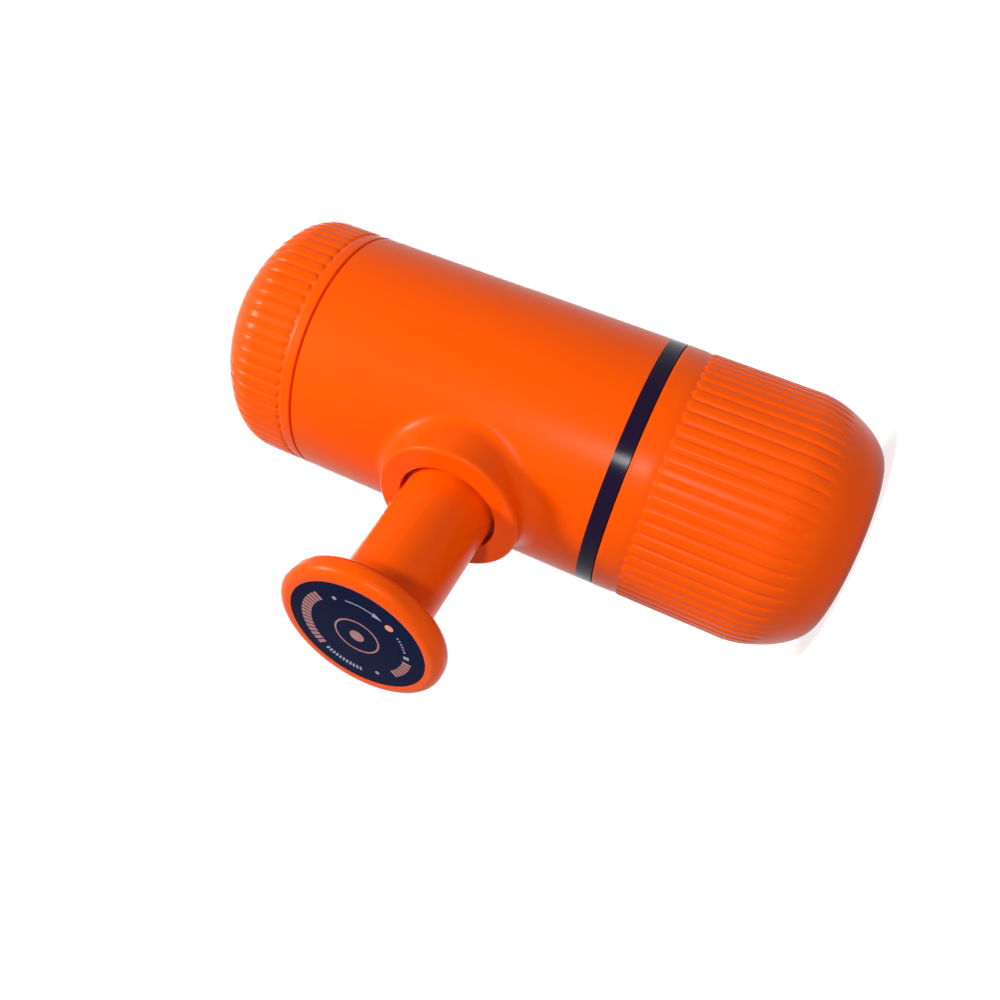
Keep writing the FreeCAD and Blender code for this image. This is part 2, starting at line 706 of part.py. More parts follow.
def crema_poppet():
    """Sprung poppet that opens under pressure and froths the coffee."""
    top = valve_face - RUN_FIT
    return lathe([
        (0, top - POPPET_THICK - POPPET_STEM),
        (POPPET_STEM_R, top - POPPET_THICK - POPPET_STEM),
        (POPPET_STEM_R, top - POPPET_THICK),
        (poppet_r, top - POPPET_THICK),
        (poppet_r, top),
        (OUTLET_R - MOVE_GAP, top),
        (OUTLET_R / 2, top + POPPET_NOSE, EDGE_ROUND),
        (0, top + POPPET_NOSE)])


def crema_spring():
    """Spring that holds the poppet on its seat."""
    high = valve_face - RUN_FIT - POPPET_THICK
    return coil(crema_spring_r, CREMA_SPRING_WIRE_R, nozzle_plug_top, high, CREMA_SPRING_TURNS)


# ---------------------------------------------------------------- piston and its knob
def piston_sleeve():
    """Orange piston tube and knob in one moulding, with two locking lugs at its inner end."""
    body = lathe([
        (sleeve_in, sleeve_end),
        (SLEEVE_R, sleeve_end),
        (SLEEVE_R, knob_back, KNOB_NECK_ROUND),
        (KNOB_R, knob_back, KNOB_RIM_ROUND),
        (KNOB_R, knob_face, KNOB_RIM_ROUND),
        (label_r + SEAT_FIT, knob_face, LABEL_SINK / 2),
        (label_r + SEAT_FIT, label_floor),
        (screw_recess_r, label_floor),
        (screw_recess_r, screw_floor),
        (ROD_NECK_R + RUN_FIT, screw_floor),
        (ROD_NECK_R + RUN_FIT, rod_shoulder),
        (sleeve_in, rod_shoulder)])
    lugs = []
    for middle in LUG_MIDDLES:
        lug = Part.makeCylinder(lug_r, LUG_THICK, V(0, 0, sleeve_end), UP, LUG_SPAN)
        lug = lug.cut(rod(SLEEVE_R - SLEEVE_WALL / 2, sleeve_end, lug_out))
        lug.rotate(ORIGIN, UP, middle - LUG_SPAN / 2)
        lugs.append(lug)
    return on_pump_axis(one_solid(body.fuse(lugs)))


def label_disc():
    """Printed disc set into the knob's face."""
    low = label_floor + SEAT_FIT
    return on_pump_axis(lathe([
        (0, low),
        (label_r, low),
        (label_r, knob_face - LABEL_SINK, LABEL_SINK),
        (0, knob_face - LABEL_SINK)]))


def plunger_rod():
    """Steel plunger that works in the pump cylinder; its neck carries the turning knob."""
    seal_low = rod_tip + SEAL_FROM_TIP
    body = lathe([
        (0, rod_tip),
        (ROD_R, rod_tip, EDGE_ROUND),
        (ROD_R, seal_low),
        (ROD_R - SEAL_DEPTH, seal_low),
        (ROD_R - SEAL_DEPTH, seal_low + SEAL_WIDTH),
        (ROD_R, seal_low + SEAL_WIDTH),
        (ROD_R, rod_shoulder - RUN_FIT),
        (ROD_NECK_R, rod_shoulder - RUN_FIT),
        (ROD_NECK_R, screw_floor + RUN_FIT),
        (0, screw_floor + RUN_FIT)])
    thread_hole = rod(SCREW_R + SEAT_FIT, rod_shoulder - ROD_SCREW_BITE, screw_floor + RUN_FIT)
    return on_pump_axis(body.cut(thread_hole))


def plunger_seal():
    """Seal in the plunger's groove."""
    low = rod_tip + SEAL_FROM_TIP
    inner = ROD_R - SEAL_DEPTH
    return on_pump_axis(ring(inner, ROD_R + RUN_FIT / 2, low + SEAT_FIT, low + SEAL_WIDTH - SEAT_FIT))


def rod_screw():
    """Screw with a wide head that keeps the knob on the plunger's neck."""
    face = screw_floor + RUN_FIT
    screw = lathe([
        (0, rod_shoulder - ROD_SCREW_BITE + SEAT_FIT),
        (SCREW_R, rod_shoulder - ROD_SCREW_BITE + SEAT_FIT),
        (SCREW_R, face),
        (rod_head_r, face),
        (rod_head_r, face + SCREW_HEAD, EDGE_ROUND),
        (0, face + SCREW_HEAD)])
    drive = rod(SCREW_DRIVE_R, face + SCREW_HEAD - SCREW_DRIVE_DEPTH, face + SCREW_HEAD)
    return on_pump_axis(screw.cut(drive))


def spring_seat():
    """Washer under the plunger's shoulder that the return spring pushes on."""
    top = rod_shoulder - RUN_FIT
    return on_pump_axis(ring(ROD_R + SEAT_FIT, in_sleeve_r, top - SPRING_SEAT_THICK, top))


def return_spring():
    """Spring that pushes the piston out between strokes."""
    low = block_front + CYLINDER_FLANGE
    high = rod_shoulder - RUN_FIT - SPRING_SEAT_THICK
    return on_pump_axis(coil(spring_mean_r, SPRING_WIRE_R, low, high, SPRING_TURNS))


def guide_bush():
    """Plastic bush in the boss that guides the sleeve and stops its lugs."""
    return on_pump_axis(ring(bush_in_r, bush_r - SEAT_FIT, bush_in, bush_out))


def wiper_ring():
    """Rubber wiper behind the boss face."""
    return on_pump_axis(ring(bush_in_r, bush_r - SEAT_FIT, wiper_out - WIPER_THICK, wiper_out))


def lock_ring():
    """Steel plate with two slots; the lugs pass through and hook behind it when the knob is turned."""
    plate = block(-ear_reach, ear_reach, -lock_half_height, lock_half_height, lock_in, lock_out)
    cuts = [rod(SLEEVE_R + MOVE_GAP, lock_in, lock_out)]
    slot_span = LUG_SPAN + 2 * LUG_SLOT_PLAY
    for middle in LUG_MIDDLES:
        slot = Part.makeCylinder(lug_r + MOVE_GAP, LOCK_THICK, V(0, 0, lock_in), UP, slot_span)
        slot.rotate(ORIGIN, UP, middle - slot_span / 2)
        cuts.append(slot)
    for x, spread in post_screw_places():
        cuts.append(rod(SCREW_R + SEAT_FIT, lock_in, lock_out, x, spread))
    return on_pump_axis(one_solid(plate.cut(cuts)))


def post_screw_places():
    """Where the four long screws stand, across and along the barrel from the pump axis."""
    return [(x, z) for x in (-post_screw_x, post_screw_x) for z in (-POST_SCREW_SPREAD, POST_SCREW_SPREAD)]


# ---------------------------------------------------------------- pump cylinder and valves
def pump_cylinder():
    """Steel cylinder that the plunger works in, flanged against the valve block."""
    slot_r = cylinder_plug_r + SEAT_FIT - 2 * CYLINDER_RING_R
    body = lathe([
        (cylinder_bore_r, block_front - CYLINDER_PLUG),
        (cylinder_plug_r, block_front - CYLINDER_PLUG),
        (cylinder_plug_r, ring_slot_low),
        (slot_r, ring_slot_low),
        (slot_r, ring_slot_high),
        (cylinder_plug_r, ring_slot_high),
        (cylinder_plug_r, block_front),
        (in_sleeve_r, block_front),
        (in_sleeve_r, block_front + CYLINDER_FLANGE),
        (cylinder_r, block_front + CYLINDER_FLANGE),
        (cylinder_r, cylinder_mouth, EDGE_ROUND),
        (cylinder_bore_r, cylinder_mouth, EDGE_ROUND)])
    return on_pump_axis(body)


def cylinder_ring():
    """Rubber ring that seals the cylinder in the valve block."""
    middle = (ring_slot_low + ring_slot_high) / 2
    radius = cylinder_plug_r + SEAT_FIT - CYLINDER_RING_R
    return on_pump_axis(Part.makeTorus(radius, CYLINDER_RING_R, V(0, 0, middle), UP))


def pump_block():
    """Valve block behind the cylinder, with ears that carry it on the frame."""
    front = -block_front
    body = block(-block_half, block_half, front, front + block_depth, block_low, block_top)
    uprights = [e for e in body.Edges if e.BoundBox.YMin > front + NEAR and e.BoundBox.XLength < NEAR]
    body = body.makeFillet(BLOCK_ROUND, uprights)
    ears_low = pump_z - EAR_HALF_HEIGHT
    ears_top = pump_z + EAR_HALF_HEIGHT
    body = body.fuse(block(-ear_reach, ear_reach, front, front + EAR_THICK, ears_low, ears_top))
    for x0, x1 in ((-ear_reach, -standoff_in), (standoff_in, ear_reach)):
        body = body.fuse(block(x0, x1, -lock_in, front, ears_low, ears_top))
    y = -valve_axis
    chamber_end = valve_axis - PORT_R - PORT_SETBACK
    cuts = [
        on_pump_axis(rod(cylinder_plug_r + SEAT_FIT, block_front - CYLINDER_PLUG - SEAT_FIT, block_front)),
        on_pump_axis(rod(cylinder_bore_r, chamber_end, block_front)),
        rod(PORT_R, outlet_ceiling, inlet_floor, 0, y),
        rod(VALVE_BORE_R, inlet_floor, block_top, 0, y),
        rod(VALVE_BORE_R, block_low, outlet_ceiling, 0, y)]
    for x, spread in post_screw_places():
        cuts.append(on_pump_axis(rod(SCREW_R + SEAT_FIT, block_front - EAR_THICK, lock_in, x, spread)))
    return one_solid(body.cut(cuts))


def valve_seat(low):
    """Pressed-in seat ring of a ball valve."""
    seat = ring(PORT_R, VALVE_BORE_R - SEAT_FIT, low, low + VALVE_SEAT_HEIGHT - SEAT_FIT)
    seat.translate(V(0, -valve_axis, 0))
    return seat


def valve_ball(height):
    """Steel ball of a check valve."""
    return Part.makeSphere(BALL_R, V(0, -valve_axis, height))


def valve_spring(ball_z):
    """Light spring under a valve ball."""
    high = ball_z - math.sqrt(BALL_R ** 2 - valve_spring_r ** 2) - VALVE_SPRING_WIRE_R
    low = ball_z - BALL_R - VALVE_SPRING_LENGTH + SEAT_FIT
    spring = coil(valve_spring_r, VALVE_SPRING_WIRE_R, low, high, VALVE_SPRING_TURNS)
    spring.translate(V(0, -valve_axis, 0))
    return spring


def inlet_tube():
    """Short tube from the tank socket down into the valve block."""
    plug_r = VALVE_BORE_R - SEAT_FIT
    tube = lathe([
        (TUBE_BORE_R, inlet_plug_low),
        (plug_r, inlet_plug_low),
        (plug_r, block_top + SEAT_FIT),
        (TUBE_R, block_top + SEAT_FIT),
        (TUBE_R, socket_floor - STRAINER_THICK - SEAT_FIT),
        (TUBE_BORE_R, socket_floor - STRAINER_THICK - SEAT_FIT)])
    tube.translate(V(0, -valve_axis, 0))
    return tube


def outlet_tube():
    """Tube from the valve block down to the brew ceiling."""
    plug_r = VALVE_BORE_R - SEAT_FIT
    tube = lathe([
        (TUBE_BORE_R, outlet_tube_low + SEAT_FIT),
        (TUBE_R, outlet_tube_low + SEAT_FIT),
        (TUBE_R, block_low - TUBE_FLANGE),
        (TUBE_FLANGE_R, block_low - TUBE_FLANGE),
        (TUBE_FLANGE_R, block_low - SEAT_FIT),
        (plug_r, block_low - SEAT_FIT),
        (plug_r, outlet_plug_top),
        (TUBE_BORE_R, outlet_plug_top)])
    tube.translate(V(0, -valve_axis, 0))
    return tube


def inlet_strainer():
    """Fine steel strainer over the inlet, let into the socket's floor."""
    low = socket_floor - STRAINER_THICK
    disc = rod(STRAINER_R, low, socket_floor)
    disc = disc.cut(perforation(low, socket_floor, STRAINER_HOLE_R, STRAINER_PITCH, 0, STRAINER_R))
    disc.translate(V(0, -valve_axis, 0))
    return one_solid(disc)


# ---------------------------------------------------------------- frame and tank
def core_frame():
    """Moulded frame: a foot ring, two posts and a head ring that tie collar, pump and socket together."""
    ring_in = frame_r - FRAME_RING_WIDTH
    body = ring(ring_in, frame_r, collar_top, collar_top + FRAME_RING)
    body = body.fuse(ring(ring_in, frame_r, head_ring_low, socket_low))
    back = -lock_out
    for x0, x1 in ((-post_out, -post_in), (post_in, post_out)):
        body = body.fuse(block(x0, x1, -post_front, back, collar_top, socket_low))
    body = body.common(rod(frame_r, collar_top, socket_low))
    low = collar_top - OVERCUT
    high = socket_low + OVERCUT
    cuts = [rod(TUBE_FLANGE_R + MOVE_GAP, low, high, 0, -valve_axis)]
    hole = rod(SCREW_R + SEAT_FIT, low, high)
    cuts += around(hole, ring_screw_r, RING_SCREWS, RING_SCREW_TURN)
    for x, spread in post_screw_places():
        cuts.append(on_pump_axis(rod(SCREW_R + SEAT_FIT, lock_out, lock_out + POST_SCREW_BITE, x, spread)))
    return one_solid(body.cut(cuts))


def foot_screws():
    """Four screws that hold the frame down on the collar."""
    screw = pan_screw(collar_top + FRAME_RING, FRAME_RING + FOOT_SCREW_BITE - SEAT_FIT)
    return around(screw, ring_screw_r, RING_SCREWS, RING_SCREW_TURN)


def socket_screws():
    """Four screws from below that hold the tank socket on the frame."""
    screw = pan_screw(0, FRAME_RING + SOCKET_SCREW_BITE - SEAT_FIT)
    screw.rotate(ORIGIN, V(1, 0, 0), 180)
    screw.translate(V(0, 0, head_ring_low))
    return around(screw, ring_screw_r, RING_SCREWS, RING_SCREW_TURN)


def frame_screws():
    """Four long screws through the valve block's ears and the lock ring into the posts."""
    reach = lock_out - block_front + EAR_THICK + POST_SCREW_BITE - SEAT_FIT
    screws = []
    for x, spread in post_screw_places():
        screw = pan_screw(0, reach)
        screw.rotate(ORIGIN, V(1, 0, 0), 180)
        screw.translate(V(x, spread, block_front - EAR_THICK))
        screws.append(on_pump_axis(screw))
    return screws


def tank_socket():
    """Threaded socket in the top of the shell; its floor carries the inlet."""
    rim = shell_top - SOCKET_EDGE_DROP
    body = lathe([
        (0, socket_low),
        (inner_r, socket_low),
        (inner_r, rim, EDGE_ROUND),
        (socket_in, rim, EDGE_ROUND),
        (socket_in, socket_floor),
        (0, socket_floor)])
    rib = helical_rib(socket_in, -1, tank_thread_z + TANK_PITCH / 4, THREAD_TURNS, TANK_PITCH)
    y = -valve_axis
    cuts = [
        rod(TUBE_R + SEAT_FIT, socket_low, socket_floor, 0, y),
        rod(STRAINER_R + SEAT_FIT, socket_floor - STRAINER_THICK - SEAT_FIT, socket_floor, 0, y)]
    pilot = rod(SCREW_R + SEAT_FIT, socket_low, socket_low + SOCKET_SCREW_BITE + SEAT_FIT)
    cuts += around(pilot, ring_screw_r, RING_SCREWS, RING_SCREW_TURN)
    return one_solid(body.fuse(rib).cut(cuts))


def tank_gasket():
    """Flat silicone ring between the tank's mouth and the socket floor."""
    low = socket_floor + RUN_FIT
    return ring(neck_r - TANK_NECK_WALL - MOVE_GAP, neck_r, low, low + TANK_GASKET_THICK - RUN_FIT)


def water_tank():
    """Ribbed water tank with a deep threaded neck."""
    neck_in = neck_r - TANK_NECK_WALL
    dome_low = crown_z - TANK_DOME_RISE
    inner_wall = BARREL_R - TANK_WALL
    inner_crown = crown_z - TANK_WALL
    shoulder_top = tank_low + TANK_SHOULDER
    body = lathe([
        (neck_in, neck_low, EDGE_ROUND),
        (neck_r, neck_low, EDGE_ROUND),
        (neck_r, tank_low),
        (BARREL_R, tank_low, EDGE_ROUND),
        (BARREL_R, dome_low),
        (inner_wall, dome_low),
        (inner_wall, shoulder_top, TANK_WALL),
        (neck_in, shoulder_top)])
    dome = lathe_edges([
        corner_curve(0, BARREL_R, crown_z, dome_low, TANK_DOME_POWER),
        Part.makeLine(V(BARREL_R, 0, dome_low), V(inner_wall, 0, dome_low)),
        corner_curve(0, inner_wall, inner_crown, dome_low, TANK_DOME_POWER),
        Part.makeLine(V(0, 0, inner_crown), V(0, 0, crown_z))])
    rib = helical_rib(neck_r, 1, tank_thread_z - TANK_PITCH / 4, THREAD_TURNS, TANK_PITCH)
    groove_low = tank_low + TANK_GROOVE_LOW_GAP + GROOVE_RUN_OUT
    skin = [V(BARREL_R, 0, groove_low), V(BARREL_R, 0, (groove_low + dome_low) / 2)]
    for i in range(CURVE_STEPS + 1):
        t = 1 - TANK_GROOVE_SHARE * i / CURVE_STEPS
        skin.append(corner_point(0, BARREL_R, crown_z, dome_low, TANK_DOME_POWER, t))
    grooved = cut_grooves(body.fuse(dome).removeSplitter(), skin)
    return one_solid(grooved.fuse(rib))


# ---------------------------------------------------------------- write one STEP file per piece
NODES = {
    "espresso_cup": espresso_cup,
    "body_shell": body_shell,
    "brew_collar": brew_collar,
    "cup_seal_ring": cup_seal_ring,
    "shower_screen": shower_screen,
    "screen_screw": screen_screw,
    "brew_gasket": brew_gasket,
    "filter_basket": filter_basket,
    "outlet_head": outlet_head,
    "spout_nozzle": spout_nozzle,
    "crema_poppet": crema_poppet,
    "crema_spring": crema_spring,
    "piston_sleeve": piston_sleeve,
    "label_disc": label_disc,
    "plunger_rod": plunger_rod,
    "plunger_seal": plunger_seal,
    "rod_screw": rod_screw,
    "spring_seat": spring_seat,
    "return_spring": return_spring,
    "guide_bush": guide_bush,
    "wiper_ring": wiper_ring,
    "lock_ring": lock_ring,
    "pump_cylinder": pump_cylinder,
    "cylinder_ring": cylinder_ring,
    "pump_block": pump_block,
    "inlet_seat": lambda: valve_seat(inlet_seat_low),
    "inlet_ball": lambda: valve_ball(inlet_ball_z),
    "inlet_spring": lambda: valve_spring(inlet_ball_z),
    "outlet_seat": lambda: valve_seat(outlet_seat_low),
    "outlet_ball": lambda: valve_ball(outlet_ball_z),
    "outlet_spring": lambda: valve_spring(outlet_ball_z),
    "inlet_tube": inlet_tube,
    "outlet_tube": outlet_tube,
    "inlet_strainer": inlet_strainer,
    "core_frame": core_frame,
    "foot_screws": foot_screws,
    "socket_screws": socket_screws,
    "frame_screws": frame_screws,
    "tank_socket": tank_socket,
    "tank_gasket": tank_gasket,
    "water_tank": water_tank,
}

for node, make in NODES.items():
    made = make()
    shape = Part.makeCompound(made) if isinstance(made, list) else made
    shape.exportStep(f"parts/{node}.step")
    print(f"{node:16s} solids {len(shape.Solids)} valid {shape.isValid()} volume {shape.Volume:.1f}")
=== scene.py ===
import math

import bpy
import numpy as np
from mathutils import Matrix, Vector


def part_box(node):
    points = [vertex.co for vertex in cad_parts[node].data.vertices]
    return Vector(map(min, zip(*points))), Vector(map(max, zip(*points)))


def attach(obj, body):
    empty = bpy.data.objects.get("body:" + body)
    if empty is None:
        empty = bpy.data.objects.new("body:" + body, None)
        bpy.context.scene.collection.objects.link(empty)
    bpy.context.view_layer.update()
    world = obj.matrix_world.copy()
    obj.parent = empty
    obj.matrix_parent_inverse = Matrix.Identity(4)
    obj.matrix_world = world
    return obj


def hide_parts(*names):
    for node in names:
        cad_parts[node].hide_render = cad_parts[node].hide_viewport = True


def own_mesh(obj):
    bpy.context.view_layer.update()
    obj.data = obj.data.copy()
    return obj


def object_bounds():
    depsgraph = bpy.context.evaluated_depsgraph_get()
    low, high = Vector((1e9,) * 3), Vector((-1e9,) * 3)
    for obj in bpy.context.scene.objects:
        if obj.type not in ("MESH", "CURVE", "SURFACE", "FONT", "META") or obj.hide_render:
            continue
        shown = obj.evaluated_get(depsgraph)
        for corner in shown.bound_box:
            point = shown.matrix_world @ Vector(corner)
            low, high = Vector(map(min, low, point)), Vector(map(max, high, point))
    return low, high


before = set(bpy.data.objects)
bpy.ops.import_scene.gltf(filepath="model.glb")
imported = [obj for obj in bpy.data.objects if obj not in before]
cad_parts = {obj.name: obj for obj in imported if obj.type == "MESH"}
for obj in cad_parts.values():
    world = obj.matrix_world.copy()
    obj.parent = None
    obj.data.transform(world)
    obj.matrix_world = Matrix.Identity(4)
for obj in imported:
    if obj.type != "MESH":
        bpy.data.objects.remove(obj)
cad_low, cad_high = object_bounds()

# ---------------------------------------------------------------- camera
# The maker stands upright on its cup, and the camera is held low beside the pump's knob and rolled
# so that the barrel crosses the picture from top left to bottom right.
CAMERA_PLACE = (0.14245, -0.14991, 0.03335)
CAMERA_TURN = (119.45, 64.41, 76.22)     # degrees
CAMERA_LENS = 30.6        # millimetres, on a sensor 36 mm wide


def add_object(name, data):
    """Object that holds the data, in the scene."""
    made = bpy.data.objects.new(name, data)
    bpy.context.scene.collection.objects.link(made)
    return made


camera_data = bpy.data.cameras.new("camera")
camera_data.lens = CAMERA_LENS
camera_data.sensor_width = 36
camera_data.clip_start = 0.01
camera_data.clip_end = 20
camera = add_object("camera", camera_data)
camera.location = CAMERA_PLACE
camera.rotation_euler = [math.radians(a) for a in CAMERA_TURN]
bpy.context.scene.camera = camera
bpy.context.scene.view_settings.view_transform = "Standard"


# ---------------------------------------------------------------- room
# A white table in a white light tent: everything but the maker's own matt surfaces sees plain white.
# The key lamp stands high on the knob's side, with a small weak one level below it, and a broad lamp
# stands behind the maker.
TENT_LIGHT = 0.06         # light from the tent's walls on a matt surface
AIM = Vector((0, 0, 0.08))
LAMP_DISTANCE = 0.6


def calc(tree, operation, a, b=0.0):
    """Math node; a and b are numbers or sockets."""
    node = tree.nodes.new("ShaderNodeMath")
    node.operation = operation
    for socket, value in ((node.inputs[0], a), (node.inputs[1], b)):
        if isinstance(value, (int, float)):
            socket.default_value = value
        else:
            tree.links.new(value, socket)
    return node.outputs["Value"]


def seen_directly(tree):
    """1 for rays from the camera, mirrors and glass, and 0 for those that only carry light."""
    path = tree.nodes.new("ShaderNodeLightPath")
    shiny = calc(tree, "MAXIMUM", path.outputs["Is Glossy Ray"], path.outputs["Is Transmission Ray"])
    return calc(tree, "MAXIMUM", path.outputs["Is Camera Ray"], shiny)


world = bpy.data.worlds.new("tent")
bpy.context.scene.world = world
world.use_nodes = True
tree = world.node_tree
background = tree.nodes["Background"]
walls = tree.nodes.new("ShaderNodeMapRange")
walls.inputs["To Min"].default_value = TENT_LIGHT
walls.inputs["To Max"].default_value = 1
tree.links.new(seen_directly(tree), walls.inputs["Value"])
tree.links.new(walls.outputs["Result"], background.inputs["Strength"])
background.inputs["Color"].default_value = (1, 1, 1, 1)


def lamp(name, azimuth, elevation, size, level):
    """Soft square lamp that faces the maker; level is how bright it makes white paper that faces it."""
    turn, rise = math.radians(azimuth), math.radians(elevation)
    toward = Vector((math.cos(rise) * math.cos(turn), math.cos(rise) * math.sin(turn), math.sin(rise)))
    data = bpy.data.lights.new(name, "AREA")
    data.size = size
    data.energy = level * (math.pi * LAMP_DISTANCE) ** 2
    made = add_object(name, data)
    made.location = AIM + LAMP_DISTANCE * toward
    made.rotation_mode = "QUATERNION"
    made.rotation_quaternion = toward.to_track_quat("Z", "Y")


lamp("key_lamp", azimuth=-50, elevation=54, size=0.12, level=0.90)
lamp("front_lamp", azimuth=-47, elevation=0, size=0.06, level=0.36)
lamp("back_lamp", azimuth=132, elevation=35, size=0.40, level=0.90)

FLOOR_HALF = 4.0
FLOOR_DROP = 0.00005
FLOOR_TONE = (0.40, 0.40, 0.40, 1)    # kept low so that the table throws little light back
NEAR_LIFT = 0.80          # added where the lamps reach, and keeps the shadow
FAR_LIFT = 1.0            # added where they don't
LIFT_NEAR_R = 0.12        # the near lift holds out to this radius
LIFT_FAR_R = 0.35         # and the far one from this radius on


def add_mesh(name, verts, faces, material, smooth=False):
    """Mesh object in one material, shaded flat or smooth."""
    mesh = bpy.data.meshes.new(name)
    mesh.from_pydata(verts, [], faces)
    if smooth:
        mesh.polygons.foreach_set("use_smooth", [True] * len(faces))
    mesh.materials.append(material)
    return add_object(name, mesh)


floor_material = bpy.data.materials.new("white_table")
floor_material.use_nodes = True
tree = floor_material.node_tree
shader = tree.nodes["Principled BSDF"]
shader.inputs["Base Color"].default_value = FLOOR_TONE
shader.inputs["Roughness"].default_value = 0.8
shader.inputs["Specular IOR Level"].default_value = 0
shader.inputs["Emission Color"].default_value = (1, 1, 1, 1)
place = tree.nodes.new("ShaderNodeTexCoord").outputs["Object"]
reach = tree.nodes.new("ShaderNodeVectorMath")
reach.operation = "LENGTH"
tree.links.new(place, reach.inputs[0])
lift = tree.nodes.new("ShaderNodeMapRange")
lift.interpolation_type = "SMOOTHSTEP"
lift.inputs["From Min"].default_value = LIFT_NEAR_R
lift.inputs["From Max"].default_value = LIFT_FAR_R
lift.inputs["To Min"].default_value = NEAR_LIFT
lift.inputs["To Max"].default_value = FAR_LIFT
tree.links.new(reach.outputs["Value"], lift.inputs["Value"])
shown = calc(tree, "MULTIPLY", seen_directly(tree), lift.outputs["Result"])
tree.links.new(shown, shader.inputs["Emission Strength"])
corners = [(x * FLOOR_HALF, y * FLOOR_HALF, -FLOOR_DROP) for x, y in ((-1, -1), (1, -1), (1, 1), (-1, 1))]
floor = add_mesh("floor", corners, [(0, 1, 2, 3)], floor_material)


# ---------------------------------------------------------------- orange mouldings
# Shell, piston, cup and tank are injection-moulded in bright orange ABS with a fine satin texture;
# the tone drifts a little where the melt flowed, and handling has polished it in places.
ORANGE = (1.0, 0.108, 0.0002, 1)
ORANGE_DEEP = (0.97, 0.090, 0.0, 1)
RIM_SHEEN = (0.72, 0.58, 0.75, 1)     # cool haze that the satin grain shows at a grazing angle
PATCH_RATIO = 4.3         # polished patches are this much smaller than the drift of the tone
GRAIN_SHINE = 0.05        # how much the grain changes the roughness
BUMP_DEPTH = 0.0001       # deepest grain, scaled down by each material's bump


def new_group(name, inputs, outputs):
    """Empty shader group with float inputs (name, default) and float outputs."""
    group = bpy.data.node_groups.new(name, "ShaderNodeTree")
    for label, default in inputs:
        socket = group.interface.new_socket(label, in_out="INPUT", socket_type="NodeSocketFloat")
        socket.default_value = default
    for label in outputs:
        group.interface.new_socket(label, in_out="OUTPUT", socket_type="NodeSocketFloat")
    return group, group.nodes.new("NodeGroupInput"), group.nodes.new("NodeGroupOutput")


def noise(tree, vector, scale, detail):
    """Noise value; scale is a number or a socket."""
    node = tree.nodes.new("ShaderNodeTexNoise")
    node.inputs["Detail"].default_value = detail
    if isinstance(scale, (int, float)):
        node.inputs["Scale"].default_value = scale
    else:
        tree.links.new(scale, node.inputs["Scale"])
    tree.links.new(vector, node.inputs["Vector"])
    return node.outputs["Fac"]


def make_skin_group():
    """Moulded plastic: slow drift of the tone, polished patches and a fine eroded grain."""
    inputs = [("Drift Scale", 30), ("Grain Scale", 2500), ("Roughness", 0.4), ("Polish", 0.06)]
    group, given, result = new_group("moulded_skin", inputs, ["Tone", "Roughness", "Height"])
    place = group.nodes.new("ShaderNodeTexCoord").outputs["Object"]
    drift = noise(group, place, given.outputs["Drift Scale"], 3)
    patch = noise(group, place, calc(group, "MULTIPLY", given.outputs["Drift Scale"], PATCH_RATIO), 5)
    grain = noise(group, place, given.outputs["Grain Scale"], 2)
    polish = calc(group, "MULTIPLY", calc(group, "SUBTRACT", patch, 0.5), given.outputs["Polish"])
    rough = calc(group, "ADD", given.outputs["Roughness"], polish)
    fine = calc(group, "MULTIPLY", calc(group, "SUBTRACT", grain, 0.5), GRAIN_SHINE)
    group.links.new(drift, result.inputs["Tone"])
    group.links.new(calc(group, "ADD", rough, fine), result.inputs["Roughness"])
    group.links.new(grain, result.inputs["Height"])
    return group


skin_group = make_skin_group()


def use_group(tree, group, **values):
    """Place a group and set its inputs; underscores in the names stand for spaces."""
    node = tree.nodes.new("ShaderNodeGroup")
    node.node_tree = group
    for label, value in values.items():
        node.inputs[label.replace("_", " ")].default_value = value
    return node


def surface(name, light, dark, group, bump, **values):
    """Material whose colour runs between two tones by the group's Tone."""
    made = bpy.data.materials.new(name)
    made.use_nodes = True
    tree = made.node_tree
    shader = tree.nodes["Principled BSDF"]
    skin = use_group(tree, group, **values)
    tones = tree.nodes.new("ShaderNodeMix")
    tones.data_type = "RGBA"
    tones.inputs["A"].default_value = dark
    tones.inputs["B"].default_value = light
    tree.links.new(skin.outputs["Tone"], tones.inputs["Factor"])
    tree.links.new(tones.outputs["Result"], shader.inputs["Base Color"])
    tree.links.new(skin.outputs["Roughness"], shader.inputs["Roughness"])
    relief = tree.nodes.new("ShaderNodeBump")
    relief.inputs["Strength"].default_value = bump
    relief.inputs["Distance"].default_value = BUMP_DEPTH
    tree.links.new(skin.outputs["Height"], relief.inputs["Height"])
    tree.links.new(relief.outputs["Normal"], shader.inputs["Normal"])
    return made, shader


def wear(material, *nodes):
    """Give CAD nodes a material."""
    for node in nodes:
        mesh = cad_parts[node].data
        mesh.materials.clear()
        mesh.materials.append(material)


orange, orange_shader = surface("satin_orange", ORANGE, ORANGE_DEEP, skin_group, 0.12,
                                Drift_Scale=28, Grain_Scale=2600, Roughness=0.30, Polish=0.08)
orange_shader.inputs["Specular IOR Level"].default_value = 0.09
orange_shader.inputs["Sheen Weight"].default_value = 0.015
orange_shader.inputs["Sheen Roughness"].default_value = 0.35
orange_shader.inputs["Sheen Tint"].default_value = RIM_SHEEN
wear(orange, "body_shell", "piston_sleeve", "espresso_cup", "water_tank")


